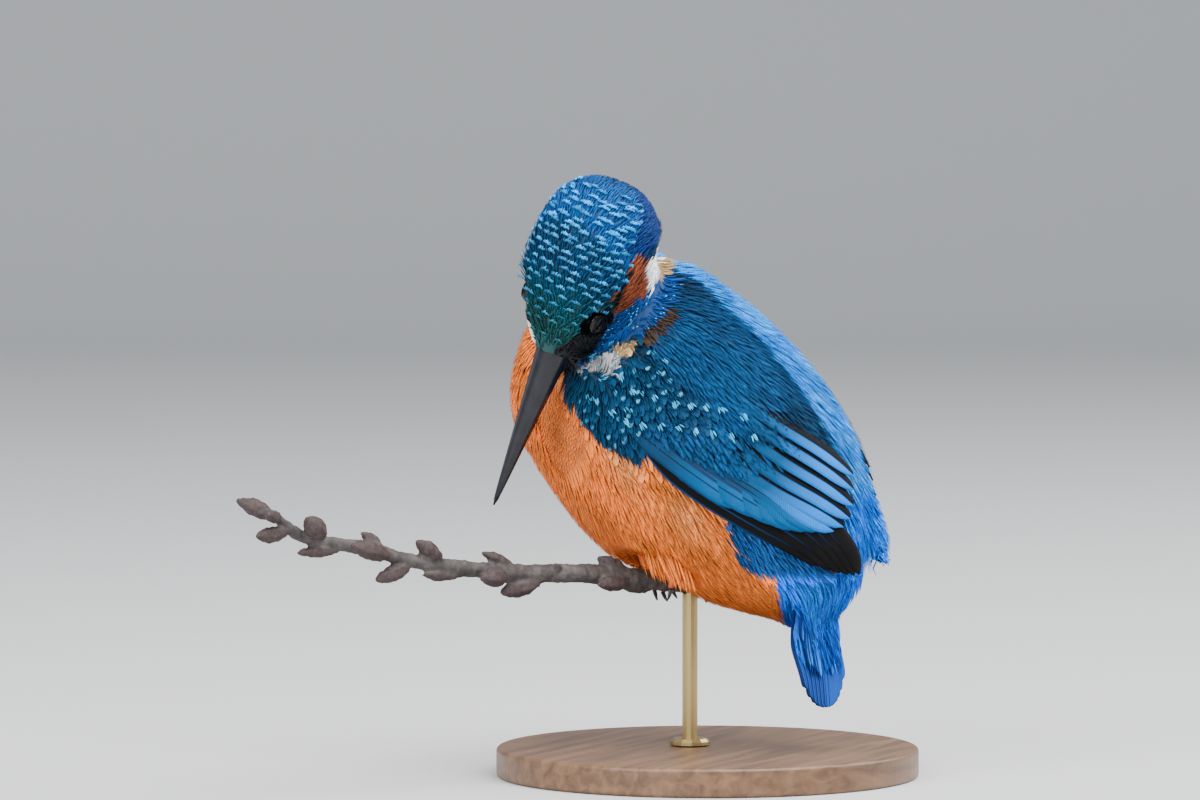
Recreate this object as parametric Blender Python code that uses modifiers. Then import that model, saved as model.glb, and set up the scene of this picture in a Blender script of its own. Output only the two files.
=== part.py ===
"""A common kingfisher, life size, hunched on a cut willow twig and looking down over its left side.

The twig is carried by one rod on a plain round base. The part's frame has +Z up, -Y the way the bird's body
faces and +X the bird's left. Its origin is the centre of the base's underside.
Body shapes are laid out in millimetres as (left, forward, up) from the grip, the point of the twig's middle
line that the bird's two feet stand either side of.
"""

import math

import bmesh
import bpy
from mathutils import Matrix, Vector

MM = 0.001
GAP = 0.3 * MM  # between neighbouring pieces
EDGE_GAP = 0.5 * MM  # around pieces with thin edges

# Stand
BASE_RADIUS = 44.0 * MM
BASE_HEIGHT = 6.0 * MM
BASE_EDGE = 0.8 * MM
ROD_RADIUS = 1.6 * MM
ROD_COLLAR = (4.2 * MM, 1.6 * MM)  # radius and height of the foot of the rod
GRIP = Vector((0.0, -4.0, 40.0)) * MM

# Twig, in millimetres
TWIG_HEADING = 35.0  # degrees forward of the bird's left
TWIG_RADIUS = 2.1
# along the twig towards its tip, up, sideways, share of the radius
TWIG_LINE = (
    (-31.0, 1.4, 0.6, 1.12),
    (-14.0, -0.3, 0.2, 1.08),
    (0.0, 0.0, 0.0, 1.04),
    (12.0, 1.5, -0.1, 1.02),
    (22.0, 2.7, 0.0, 0.98),
    (31.0, 3.3, 0.2, 0.95),
    (41.0, 3.5, 0.0, 0.93),
    (50.0, 4.7, -0.2, 0.82),
    (59.0, 5.8, 0.0, 0.76),
    (68.5, 7.8, 0.2, 0.68),
    (75.5, 10.1, 0.0, 0.72),
    (82.0, 11.0, -0.1, 0.66),
    (89.0, 12.3, 0.0, 0.62),
    (93.5, 14.4, 0.1, 0.56),
    (97.6, 18.0, 0.0, 0.5),
)
# root's place along the twig, way round it in degrees from the top (270 is the bird's left rear), length,
# half width, lean out from the twig in degrees
TWIG_BUDS = (
    (8.7, 190.0, 8.8, 1.5, 4.0),
    (16.0, 238.0, 8.4, 2.0, 16.0),
    (15.9, 5.0, 7.0, 1.5, 14.0),
    (32.0, 305.0, 2.6, 1.0, 50.0),
    (36.4, 190.0, 9.4, 2.1, 12.0),
    (44.6, 245.0, 7.4, 2.1, 18.0),
    (42.6, 5.0, 7.8, 1.45, 18.0),
    (54.5, 190.0, 9.4, 1.3, 5.0),
    (59.6, 345.0, 7.2, 1.95, 24.0),
    (66.2, 188.0, 8.4, 1.9, 30.0),
    (72.6, 40.0, 5.4, 1.4, 22.0),
    (71.8, 250.0, 10.2, 2.2, 12.0),
    (82.8, 190.0, 9.6, 1.4, 10.0),
    (87.0, 318.0, 7.0, 2.4, 34.0),
    (94.0, 200.0, 8.0, 1.85, 44.0),
    (96.6, 245.0, 6.2, 1.5, 48.0),
    (96.9, 100.0, 8.0, 1.9, 36.0),
)

# Trunk sections from neck to rump: forward, up, half depth, half width, slope of the body's line in degrees,
# how much narrower the belly side is than the back
TRUNK = (
    (28.5, 62.3, 5.0, 5.0, 48.0, 0.0),
    (26.8, 58.3, 16.0, 11.5, 50.0, 0.12),
    (21.0, 50.6, 26.0, 15.3, 50.0, 0.16),
    (8.9, 37.9, 29.4, 21.2, 50.0, 0.1),
    (-4.7, 24.2, 29.4, 23.0, 50.0, 0.02),
    (-18.8, 12.6, 23.2, 19.5, 47.0, 0.0),
    (-28.9, 3.4, 15.0, 14.0, 47.0, 0.0),
    (-29.5, -3.5, 9.0, 9.5, 60.0, 0.0),
    (-27.0, -8.0, 4.0, 5.5, 75.0, 0.0),
)
TRUNK_RINGS = 21
TRUNK_SIDES = 24

# Head, in its own frame: along the bill from the middle of the skull, up, half width, half height
HEAD_MIDDLE = (22.2, 13.9, 67.0)
HEAD_TURN = 9.0
HEAD_BOW = 68.0
HEAD_ROLL = -80.0
HEAD = (
    (-18.5, -1.6, 3.0, 3.0),
    (-17.3, -1.6, 7.0, 7.0),
    (-13.0, -1.5, 11.2, 11.6),
    (-6.0, -1.4, 13.0, 13.6),
    (1.0, -1.4, 13.2, 13.4),
    (7.0, -1.4, 12.0, 12.0),
    (12.0, -1.5, 9.8, 9.6),
    (16.0, -1.7, 7.3, 7.2),
    (19.0, -1.8, 4.9, 5.4),
    (20.2, -1.9, 4.2, 4.9),
)
EYE_PLACE = (9.6, 7.8, 2.0)
EYE_RADIUS = 3.3

# Bill, in the head's frame: along, half width, height of the upper half, depth of the lower half
BILL = (
    (13.0, 3.6, 4.1, 3.3),
    (18.0, 3.5, 4.1, 3.3),
    (24.0, 3.0, 3.6, 2.8),
    (32.0, 2.4, 2.9, 2.1),
    (42.0, 1.55, 1.9, 1.3),
    (49.0, 0.9, 1.1, 0.75),
    (54.0, 0.35, 0.45, 0.35),
)
BILL_MOUTH = -1.6  # height of the line between its halves
BILL_SIDES = 10

# Neck: middle as left, forward and up, and half sizes across and up
NECK_MIDDLE = (9.5, 14.2, 58.6)
NECK_SIZE = (14.2, 14.6)

# Wing: place along the trunk's sections, top and bottom edge in degrees round from the back, lift of its outside
WING = (
    (1.95, 42.0, 78.0, 0.5),
    (2.4, 25.0, 104.0, 1.5),
    (3.0, 20.0, 104.0, 1.8),
    (4.0, 19.0, 91.0, 1.8),
    (5.0, 21.0, 82.0, 1.9),
    (6.0, 23.0, 70.0, 2.2),
    (6.6, 22.0, 54.0, 4.4),
    (7.0, 20.0, 40.0, 5.0),
)
WING_DEPTH = 1.6  # how far its inner side sinks into the trunk
WING_FREE = 6.0  # place past which it runs free of the trunk
WING_TIP_DEPTH = 1.2  # thickness of its tip
WING_SHORT = 0.955  # the right wing lies a little shorter than the left
WING_RINGS = 15
WING_SIDES = 7

# Tail, from its root inside the rump: forward, up, half width, half thickness, slope in degrees
TAIL = (
    (-27.0, 6.0, 6.0, 2.2, 62.0),
    (-28.5, -1.0, 8.8, 2.3, 78.0),
    (-29.2, -8.0, 12.2, 2.0, 83.0),
    (-29.8, -13.0, 11.4, 1.4, 83.0),
    (-30.5, -18.5, 8.6, 1.0, 83.0),
    (-30.9, -22.5, 5.8, 0.75, 83.0),
    (-31.2, -24.8, 3.0, 0.5, 83.0),
)

# Feet, in millimetres
FOOT_STANCE = 6.0  # of each foot's middle from the grip, along the twig
TOE_RADIUS = 0.8
TOES = (  # toe's place along the twig at its root and at its tip, degrees it wraps round (front is plus)
    (-1.1, -3.0, 118.0),
    (0.0, -0.6, 132.0),
    (1.1, 1.1, 120.0),
    (0.1, 0.4, -112.0),
)
CLAW_LENGTH = 2.6
# channels in the belly over the twig, the feet and the first buds: start and end along the twig, half width, height
ROOMS = (
    ("twig_room", -40.0, 9.0, 3.0, 3.1),
    ("foot_room", -10.8, 10.2, 5.2, 4.9),
    ("bud_room", 8.0, 30.0, 6.2, 5.4),
)
LEG_RADIUS = 1.15
LEG_TOP = 12.0


def at(left, forward, up):
    """A point given in millimetres from the grip, in the part's frame."""
    return Vector((left, -forward, up)) * MM + GRIP


def smooth_row(table, place):
    """The row of numbers at this place along a table, on a smooth curve through its rows."""
    last = len(table) - 1
    index = min(int(place), last - 1)
    share = place - index
    before, start = table[max(index - 1, 0)], table[index]
    end, after = table[index + 1], table[min(index + 2, last)]
    return [
        0.5
        * (
            2 * b
            + (c - a) * share
            + (2 * a - 5 * b + 4 * c - d) * share**2
            + (3 * b - a - 3 * c + d) * share**3
        )
        for a, b, c, d in zip(before, start, end, after)
    ]


def spread(table, count):
    """This many rows at even steps along a table's smooth curve."""
    return [smooth_row(table, (len(table) - 1) * i / (count - 1)) for i in range(count)]


def colour(name, rgb, roughness, metallic=0.0):
    """The material of this name, made the first time it is asked for."""
    if name in bpy.data.materials:
        return bpy.data.materials[name]
    material = bpy.data.materials.new(name)
    material.use_nodes = True
    shader = material.node_tree.nodes["Principled BSDF"]
    shader.inputs["Base Color"].default_value = (*rgb, 1.0)
    shader.inputs["Roughness"].default_value = roughness
    shader.inputs["Metallic"].default_value = metallic
    return material


def blue_green():
    return colour("blue_green_feather", (0.02, 0.17, 0.35), 0.55)


def azure():
    return colour("azure_feather", (0.03, 0.25, 0.75), 0.5)


def orange():
    return colour("orange_feather", (0.72, 0.25, 0.06), 0.75)


def horn():
    return colour("black_horn", (0.03, 0.028, 0.035), 0.35)


def eye_black():
    return colour("dark_eye", (0.012, 0.008, 0.006), 0.08)


def red_skin():
    return colour("red_foot_skin", (0.55, 0.09, 0.04), 0.5)


def bark():
    return colour("willow_bark", (0.16, 0.14, 0.11), 0.8)


def oiled_wood():
    return colour("oiled_wood", (0.2, 0.11, 0.06), 0.45)


def brass():
    return colour("dull_brass", (0.55, 0.42, 0.2), 0.35, 1.0)


def add(name, mesh, material, collection):
    made = bpy.data.objects.new(name, mesh)
    made.data.materials.append(material)
    collection.objects.link(made)
    return made


def loft(name, rings, material, collection):
    """A closed solid through rings of points, each ring turning the same way round the line from first to last."""
    shape = bmesh.new()
    rows = [[shape.verts.new(point) for point in ring] for ring in rings]
    count = len(rows[0])
    for row, following in zip(rows, rows[1:]):
        for i in range(count):
            j = (i + 1) % count
            shape.faces.new((row[i], row[j], following[j], following[i]))
    for row in (rows[0], rows[-1]):
        centre = shape.verts.new(sum((v.co for v in row), Vector()) / count)
        for i in range(count):
            shape.faces.new((row[i], row[(i + 1) % count], centre))
    bmesh.ops.recalc_face_normals(shape, faces=shape.faces)
    mesh = bpy.data.meshes.new(name)
    shape.to_mesh(mesh)
    shape.free()
    mesh.shade_smooth()
    mesh.set_sharp_from_angle(angle=math.radians(50))
    return add(name, mesh, material, collection)


def finished_mesh(piece):
    """The piece's mesh as its modifiers leave it."""
    graph = bpy.context.evaluated_depsgraph_get()
    return bpy.data.meshes.new_from_object(piece.evaluated_get(graph))


def swollen(piece, amount, cutters):
    """A cutter: a copy of a piece, larger by this much all round."""
    cutter = bpy.data.objects.new(piece.name + "_room", finished_mesh(piece))
    cutter.matrix_world = piece.matrix_world
    cutters.objects.link(cutter)
    cutter.hide_render = True
    cutter.display_type = "WIRE"
    grow = cutter.modifiers.new("grow", "DISPLACE")
    grow.strength = amount
    grow.mid_level = 0.0
    return cutter


def boolean(piece, other, operation):
    step = piece.modifiers.new(f"{operation.lower()}_{other.name}", "BOOLEAN")
    step.operation = operation
    step.object = other
    step.solver = "EXACT"
    step.use_self = True


def cut_back(piece, around, neighbours):
    """Cuts a piece back from its neighbours so that they meet with a thin gap."""
    for neighbour in neighbours:
        boolean(piece, around[neighbour], "DIFFERENCE")


def trunk_point(row, angle, lift=0.0):
    """A point round the trunk at one section row. Angle 0 is the back, 90 the left side and 180 the belly."""
    forward, up, depth, width, slope, pinch = row
    turn, fall = math.radians(angle), math.radians(slope)
    out = math.cos(turn) * (depth + lift)
    return at(
        math.sin(turn) * (width * (1 + pinch * math.cos(turn)) + lift),
        forward - out * math.sin(fall),
        up + out * math.cos(fall),
    )


def make_trunk(parts):
    rings = [
        [trunk_point(row, 360 * i / TRUNK_SIDES) for i in range(TRUNK_SIDES)]
        for row in spread(TRUNK, TRUNK_RINGS)
    ]
    return loft("trunk", rings, orange(), parts)


def head_matrix():
    """From the head's frame, in metres with +X along the bill and +Z out of the crown, to the part's frame."""
    turn, bow, roll = (math.radians(a) for a in (HEAD_TURN, HEAD_BOW, HEAD_ROLL))
    level = Vector((math.sin(turn), -math.cos(turn), 0))
    bill = level * math.cos(bow) - Vector((0, 0, math.sin(bow)))
    crown = level * math.sin(bow) + Vector((0, 0, math.cos(bow)))
    crown.rotate(Matrix.Rotation(roll, 3, bill))
    left = crown.cross(bill)
    matrix = Matrix((bill, left, crown)).transposed().to_4x4()
    return Matrix.Translation(at(*HEAD_MIDDLE)) @ matrix


def in_head(along, left, up):
    return head_matrix() @ (Vector((along, left, up)) * MM)


def make_head(parts):
    rings = []
    for along, middle, width, height in spread(HEAD, 14):
        rings.append(
            [
                in_head(along, width * math.sin(turn), middle + height * math.cos(turn))
                for turn in (math.tau * i / 18 for i in range(18))
            ]
        )
    return loft("head", rings, blue_green(), parts)


def make_bill(parts):
    """The two halves of the bill: a ridged upper and a keeled lower one, a thin gap apart."""
    halves = []
    for name, sign in (("bill_upper", 1), ("bill_lower", -1)):
        rings = []
        for along, width, height, depth in spread(BILL, 9):
            mouth = BILL_MOUTH + sign * GAP / MM / 2
            rise = height if sign > 0 else depth
            ring = [
                (width * math.cos(a), mouth + sign * rise * math.sin(a) ** 0.8)
                for a in (math.pi * i / (BILL_SIDES - 1) for i in range(1, BILL_SIDES - 1))
            ]
            ring = [(width, mouth), *ring, (-width, mouth)]
            rings.append([in_head(along, left, up) for left, up in ring])
        halves.append(loft(name, rings, horn(), parts))
    return halves


def make_eyes(parts):
    eyes = []
    for name, side in (("eye_left", 1), ("eye_right", -1)):
        ball = bmesh.new()
        bmesh.ops.create_uvsphere(ball, u_segments=14, v_segments=8, radius=EYE_RADIUS * MM)
        mesh = bpy.data.meshes.new(name)
        ball.to_mesh(mesh)
        ball.free()
        mesh.shade_smooth()
        eye = add(name, mesh, eye_black(), parts)
        along, out, up = EYE_PLACE
        eye.matrix_world = head_matrix() @ Matrix.Translation(Vector((along, side * out, up)) * MM)
        eyes.append(eye)
    return eyes


def tube(name, path, radii, sides, material, collection):
    """A closed round solid along a path of points."""
    rings = []
    side = None
    for i, point in enumerate(path):
        along = (path[min(i + 1, len(path) - 1)] - path[max(i - 1, 0)]).normalized()
        if side is None:
            side = along.orthogonal().normalized()
        side = (side - along * side.dot(along)).normalized()
        other = along.cross(side)
        rings.append(
            [
                point + (side * math.cos(turn) + other * math.sin(turn)) * radii[i]
                for turn in (math.tau * j / sides for j in range(sides))
            ]
        )
    return loft(name, rings, material, collection)


def make_neck(parts):
    """The short neck that bends to the left: a ball of feathers between the trunk and the head."""
    ball = bmesh.new()
    bmesh.ops.create_icosphere(ball, subdivisions=3, radius=NECK_SIZE[0] * MM)
    bmesh.ops.scale(ball, vec=(1, 1, NECK_SIZE[1] / NECK_SIZE[0]), verts=ball.verts)
    mesh = bpy.data.meshes.new("neck")
    ball.to_mesh(mesh)
    ball.free()
    mesh.shade_smooth()
    neck = add("neck", mesh, blue_green(), parts)
    neck.matrix_world = Matrix.Translation(at(*NECK_MIDDLE))
    return neck


def make_wing(parts, name, side, reach):
    """A folded wing: a thin slab that hugs the trunk's side and runs free of it at its tip."""
    rings = []
    for place, top, bottom, lift in spread(WING, WING_RINGS):
        row = smooth_row(TRUNK, WING[0][0] + (place - WING[0][0]) * reach)
        depth = WING_DEPTH - max(0.0, place - WING_FREE) * (lift - WING_TIP_DEPTH + WING_DEPTH)
        angles = [top + (bottom - top) * i / (WING_SIDES - 1) for i in range(WING_SIDES)]
        outer = [trunk_point(row, side * a, lift - 0.8 * abs(i / 3 - 1) ** 3) for i, a in enumerate(angles)]
        inner = [trunk_point(row, side * a, -depth) for a in reversed(angles)]
        rings.append(outer + inner)
    return loft(name, rings, blue_green(), parts)


def make_tail(parts):
    rings = []
    for forward, up, width, thick, slope in spread(TAIL, 10):
        fall = math.radians(slope)
        ring = []
        for turn in (math.tau * i / 16 for i in range(16)):
            sine, cosine = math.sin(turn), math.cos(turn)
            across = width * math.copysign(abs(sine) ** 0.8, sine)
            out = thick * cosine - 0.9 * (across / 10.0) ** 2
            ring.append(at(across, forward - out * math.sin(fall), up + out * math.cos(fall)))
        rings.append(ring)
    return loft("tail", rings, azure(), parts)


def along_twig(place, up=0.0, sideways=0.0):
    """A point beside the twig's straight course, in millimetres from the grip."""
    heading = math.radians(TWIG_HEADING)
    left = place * math.cos(heading) - sideways * math.sin(heading)
    forward = place * math.sin(heading) + sideways * math.cos(heading)
    return at(left, forward, up)


def twig_row(place):
    """The twig's height, sideways bend and share of its radius at this distance from the grip."""
    for start, end in zip(TWIG_LINE, TWIG_LINE[1:]):
        if place <= end[0]:
            break
    index = TWIG_LINE.index(start)
    share = max(0.0, (place - start[0]) / (end[0] - start[0]))
    return smooth_row(TWIG_LINE, index + share)


def twig_course(place):
    """The directions along the twig and level out from it, on the side of its front toes."""
    heading = math.radians(TWIG_HEADING)
    rise = (twig_row(place + 1)[1] - twig_row(place - 1)[1]) / 2
    course = Vector((math.cos(heading), -math.sin(heading), rise)).normalized()
    return course, Vector((-math.sin(heading), -math.cos(heading), 0))


def make_twig(parts, cutters):
    """The twig with its buds joined on, each lying along it with its root sunk into it."""
    rows = spread(TWIG_LINE, 32)
    path = [along_twig(row[0], row[1], row[2]) for row in rows]
    radii = [row[3] * TWIG_RADIUS * MM * (1 + 0.04 * math.sin(row[0] * 0.9)) for row in rows]
    twig = tube("perch_twig", path, radii, 9, bark(), parts)
    for number, (place, round_it, length, width, lean) in enumerate(TWIG_BUDS):
        up, bend, size = twig_row(place)[1:]
        course, front = twig_course(place)
        turn, tilt = math.radians(round_it), math.radians(lean)
        out = front.cross(course) * math.cos(turn) + front * math.sin(turn)
        line = (course * math.cos(tilt) + out * math.sin(tilt)).normalized()
        root = along_twig(place, up, bend) + out * (size * TWIG_RADIUS * 0.5 + width * 0.35) * MM
        steps = ((0.0, 0.45), (0.28, 0.92), (0.6, 0.96), (0.86, 0.55), (1.0, 0.15))
        path = [root + line * length * share * MM for share, size in steps]
        bud = tube(f"bud_{number}", path, [width * size * MM for share, size in steps], 6, bark(), cutters)
        bud.hide_render = True
        bud.display_type = "WIRE"
        boolean(twig, bud, "UNION")
    return twig


def make_feet(parts, cutters):
    """Two red feet that hold the twig: three toes over its front and one behind, each with a claw, and a leg."""
    legs = []
    for side_name, side in (("left", 1), ("right", -1)):
        middle = FOOT_STANCE * side
        up, bend = twig_row(middle)[1:3]
        hold = TWIG_RADIUS + GAP / MM + TOE_RADIUS
        foot = None
        for number, (root, tip, wrap) in enumerate(TOES, start=1):
            path = []
            for share in (0.0, 0.25, 0.5, 0.75, 1.0):
                turn = math.radians(wrap * share)
                place = middle + root + (tip - root) * share
                lift = hold + 0.25 * math.sin(share * math.pi * 3) ** 2
                path.append(
                    along_twig(place, up + lift * math.cos(turn), bend + lift * math.sin(turn))
                )
            radii = [TOE_RADIUS * MM * (1.1 - 0.25 * i / 4) for i in range(5)]
            toe = tube(f"toe_{side_name}_{number}", path, radii, 7, red_skin(), parts)
            end = (path[-1] - path[-2]).normalized()
            inward = along_twig(middle + tip, up, bend) - path[-1]
            claw_path = [
                path[-1]
                + end * (GAP * 1.2 + share * CLAW_LENGTH * MM)
                + inward * (0.16 * share * share)
                for share in (0.0, 0.4, 0.75, 1.0)
            ]
            claw_radii = [0.5 * MM, 0.42 * MM, 0.28 * MM, 0.12 * MM]
            tube(f"claw_{side_name}_{number}", claw_path, claw_radii, 6, horn(), parts)
            if foot is None:
                foot = toe
                foot.name = f"foot_{side_name}"
            else:
                parts.objects.unlink(toe)
                cutters.objects.link(toe)
                toe.hide_render = True
                toe.display_type = "WIRE"
                boolean(foot, toe, "UNION")
        ankle = along_twig(middle, up + hold + 0.9, bend)
        knee = along_twig(middle * 0.95, up + LEG_TOP, bend - 2.5)
        reach = (knee - ankle).normalized()
        path = [ankle + reach * (GAP + share * (knee - ankle).length) for share in (0.0, 0.15, 0.5, 1.0)]
        radii = [LEG_RADIUS * MM * size for size in (1.15, 1.0, 1.0, 1.1)]
        leg = tube(f"leg_{side_name}", path, radii, 8, red_skin(), parts)
        legs.append(leg)
    return legs


def make_room_for_feet(cutters):
    """A cutter for the belly: a channel, open below, over the twig and the feet."""
    rooms = []
    for name, start, end, half, top in ROOMS:
        rings = []
        for i in range(13):
            place = start + (end - start) * i / 12
            up, bend = twig_row(place)[1:3]
            section = ((-half, -16.0), (-half, top - 2.0), (-half * 0.7, top - 0.5), (0.0, top))
            section += ((half * 0.7, top - 0.5), (half, top - 2.0), (half, -16.0))
            rings.append([along_twig(place, up + rise, bend + aside) for aside, rise in section])
        room = loft(name, rings, bark(), cutters)
        room.hide_render = True
        room.display_type = "WIRE"
        rooms.append(room)
    return rooms


def make_stand(parts, cutters, twig):
    """A plain round base and the rod that carries the twig."""
    disc = bmesh.new()
    bmesh.ops.create_cone(
        disc,
        cap_ends=True,
        segments=40,
        radius1=BASE_RADIUS,
        radius2=BASE_RADIUS,
        depth=BASE_HEIGHT,
        matrix=Matrix.Translation((0, 0, BASE_HEIGHT / 2)),
    )
    mesh = bpy.data.meshes.new("stand_base")
    disc.to_mesh(mesh)
    disc.free()
    base = add("stand_base", mesh, oiled_wood(), parts)
    edge = base.modifiers.new("edge", "BEVEL")
    edge.width = BASE_EDGE
    edge.segments = 1
    foot = BASE_HEIGHT - 3 * MM
    steps = (
        (foot, ROD_RADIUS),
        (BASE_HEIGHT + GAP, ROD_RADIUS),
        (BASE_HEIGHT + GAP, ROD_COLLAR[0]),
        (BASE_HEIGHT + ROD_COLLAR[1] * 0.6, ROD_COLLAR[0]),
        (BASE_HEIGHT + ROD_COLLAR[1], ROD_COLLAR[0] - 0.6 * MM),
        (BASE_HEIGHT + ROD_COLLAR[1], ROD_RADIUS),
        (GRIP.z, ROD_RADIUS),
    )
    rings = [
        [
            Vector((GRIP.x + radius * math.cos(turn), GRIP.y + radius * math.sin(turn), height))
            for turn in (math.tau * i / 12 for i in range(12))
        ]
        for height, radius in steps
    ]
    rod = loft("stand_rod", rings, brass(), parts)
    boolean(rod, swollen(twig, GAP, cutters), "DIFFERENCE")
    boolean(base, swollen(rod, GAP, cutters), "DIFFERENCE")


def main():
    for old in list(bpy.data.objects):
        bpy.data.objects.remove(old)
    parts = bpy.data.collections.new("kingfisher")
    cutters = bpy.data.collections.new("cutters")
    bpy.context.scene.collection.children.link(parts)
    bpy.context.scene.collection.children.link(cutters)
    trunk = make_trunk(parts)
    neck = make_neck(parts)
    head = make_head(parts)
    bill = make_bill(parts)
    eyes = make_eyes(parts)
    wings = [make_wing(parts, "wing_left", 1, 1.0), make_wing(parts, "wing_right", -1, WING_SHORT)]
    tail = make_tail(parts)
    twig = make_twig(parts, cutters)
    legs = make_feet(parts, cutters)
    make_stand(parts, cutters, twig)
    around = {}
    for piece in (neck, head, *bill, *eyes, *legs):
        around[piece.name] = swollen(piece, GAP, cutters)
    for piece in (*wings, tail):
        around[piece.name] = swollen(piece, EDGE_GAP, cutters)
    cut_back(head, around, ("bill_upper", "bill_lower", "eye_left", "eye_right"))
    cut_back(neck, around, ("head", "eye_left", "bill_upper", "bill_lower"))
    cut_back(wings[0], around, ("head", "neck"))
    cut_back(wings[1], around, ("neck",))
    cut_back(trunk, around, ("head", "neck"))
    cut_back(trunk, around, ("wing_left", "wing_right", "tail", "leg_left", "leg_right"))
    for room in make_room_for_feet(cutters):
        boolean(trunk, room, "DIFFERENCE")


main()
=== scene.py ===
# %% [markdown]
# # A kingfisher on its twig
# This lesson dresses the plain solids of a life-size kingfisher. The real bird is a small body wrapped in
# some thousands of feathers that overlap. So the lesson first makes one smooth skin a little inside the
# solids, and then lays feathers over it as meshes, tuft by tuft, the way they lie on the bird.

import math

import bmesh
import bpy
import numpy as np
from mathutils import Matrix, Vector
from mathutils.bvhtree import BVHTree


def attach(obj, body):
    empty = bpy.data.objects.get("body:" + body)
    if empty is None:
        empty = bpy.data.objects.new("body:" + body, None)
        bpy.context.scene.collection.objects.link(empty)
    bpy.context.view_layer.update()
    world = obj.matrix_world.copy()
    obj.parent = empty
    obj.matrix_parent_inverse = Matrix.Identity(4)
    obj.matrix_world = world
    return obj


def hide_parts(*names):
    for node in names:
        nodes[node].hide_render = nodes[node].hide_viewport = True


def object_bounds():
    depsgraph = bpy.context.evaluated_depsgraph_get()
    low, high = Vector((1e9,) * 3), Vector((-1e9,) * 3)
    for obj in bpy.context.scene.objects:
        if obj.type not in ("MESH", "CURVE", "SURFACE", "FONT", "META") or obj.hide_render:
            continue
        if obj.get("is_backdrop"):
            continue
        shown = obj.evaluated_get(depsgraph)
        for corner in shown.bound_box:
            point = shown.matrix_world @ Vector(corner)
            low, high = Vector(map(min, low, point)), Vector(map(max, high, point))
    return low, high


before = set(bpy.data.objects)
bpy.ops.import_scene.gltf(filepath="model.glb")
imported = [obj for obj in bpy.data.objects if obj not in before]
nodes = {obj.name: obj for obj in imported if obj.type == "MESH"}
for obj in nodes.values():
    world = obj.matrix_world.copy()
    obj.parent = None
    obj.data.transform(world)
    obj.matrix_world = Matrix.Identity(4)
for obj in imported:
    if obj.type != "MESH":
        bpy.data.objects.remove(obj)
cad_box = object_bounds()
print("solids", len(nodes))

# %% [markdown]
# ## The bird's own measures
# Places on a bird are easiest to give from the bird itself. The trunk is a row of oval sections from neck
# to rump. A place along them and an angle round them name any point of body or wing. The numbers are
# millimetres from the grip, the point where the feet hold the twig.

# %% Measures of the body
MM = 0.001
GRIP = Vector((0.0, -4.0, 40.0)) * MM
# forward, up, half depth, half width, slope of the body's line, narrowing of the belly side
TRUNK = (
    (28.5, 62.3, 5.0, 5.0, 48.0, 0.0),
    (26.8, 58.3, 16.0, 11.5, 50.0, 0.12),
    (21.0, 50.6, 26.0, 15.3, 50.0, 0.16),
    (8.9, 37.9, 29.4, 21.2, 50.0, 0.1),
    (-4.7, 24.2, 29.4, 23.0, 50.0, 0.02),
    (-18.8, 12.6, 23.2, 19.5, 47.0, 0.0),
    (-28.9, 3.4, 15.0, 14.0, 47.0, 0.0),
    (-29.5, -3.5, 9.0, 9.5, 60.0, 0.0),
    (-27.0, -8.0, 4.0, 5.5, 75.0, 0.0),
)
TRUNK_STEP = 17.5  # millimetres from one section of the trunk to the next
# place along the trunk, top edge, bottom edge, how far the wing stands off the trunk
WING = (
    (1.95, 42.0, 78.0, 0.5),
    (2.4, 25.0, 104.0, 1.5),
    (3.0, 20.0, 104.0, 1.8),
    (4.0, 19.0, 91.0, 1.8),
    (5.0, 21.0, 82.0, 1.9),
    (6.0, 23.0, 70.0, 2.2),
    (6.6, 22.0, 54.0, 4.4),
    (7.0, 20.0, 40.0, 5.0),
)


def at(left, forward, up):
    """A point given in millimetres left, forward and up from the grip."""
    return Vector((left, -forward, up)) * MM + GRIP


def column(table, number, place):
    """One column of a table, read off straight lines between its rows, by the first column."""
    return np.interp(place, [row[0] for row in table], [row[number] for row in table])


print("sections of the trunk", len(TRUNK), "and of the wing", len(WING))

# %% [markdown]
# ## Points on the body
# A smooth body needs more points than the table has rows. A curve that passes through all the rows gives
# the ones in between, so the feathers laid by place and angle follow the same swelling as the solids.


# %% Points on the body
def smooth_row(table, place):
    """The row of numbers at this place along a table, on a smooth curve through its rows."""
    last = len(table) - 1
    index = min(int(place), last - 1)
    share = place - index
    before, start = table[max(index - 1, 0)], table[index]
    end, after = table[index + 1], table[min(index + 2, last)]
    return [
        0.5
        * (
            2 * b
            + (c - a) * share
            + (2 * a - 5 * b + 4 * c - d) * share**2
            + (3 * b - a - 3 * c + d) * share**3
        )
        for a, b, c, d in zip(before, start, end, after)
    ]


def body_point(place, angle, lift=0.0):
    """A point over the trunk: angle 0 is the back, 90 the left side, -90 the right side and 180 the belly."""
    forward, up, depth, width, slope, pinch = smooth_row(TRUNK, place)
    turn, fall = math.radians(angle), math.radians(slope)
    out = math.cos(turn) * (depth + lift)
    return at(
        math.sin(turn) * (width * (1 + pinch * math.cos(turn)) + lift),
        forward - out * math.sin(fall),
        up + out * math.cos(fall),
    )


print("top of the back at", [round(v / MM, 1) for v in body_point(3.0, 0.0)])

# %% [markdown]
# ## The head's own frame
# The head is turned over the left side and bowed. Its places are given in a frame that turns with it: x
# along the bill, y to the head's left and z out of the crown. Eyes, bill and the markings of the face all
# use it.

# %% The head's frame
HEAD_MIDDLE = (22.2, 13.9, 67.0)
HEAD_TURN, HEAD_BOW, HEAD_ROLL = 9.0, 68.0, -80.0
HEAD_AXIS = -1.5  # height of the middle of the skull in the head's frame
NECK_MIDDLE = (9.5, 14.2, 58.6)
EYE_PLACE = (9.6, 8.25, 1.7)
EYE_RADII = (2.5, 1.45)  # across and through the eye


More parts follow.
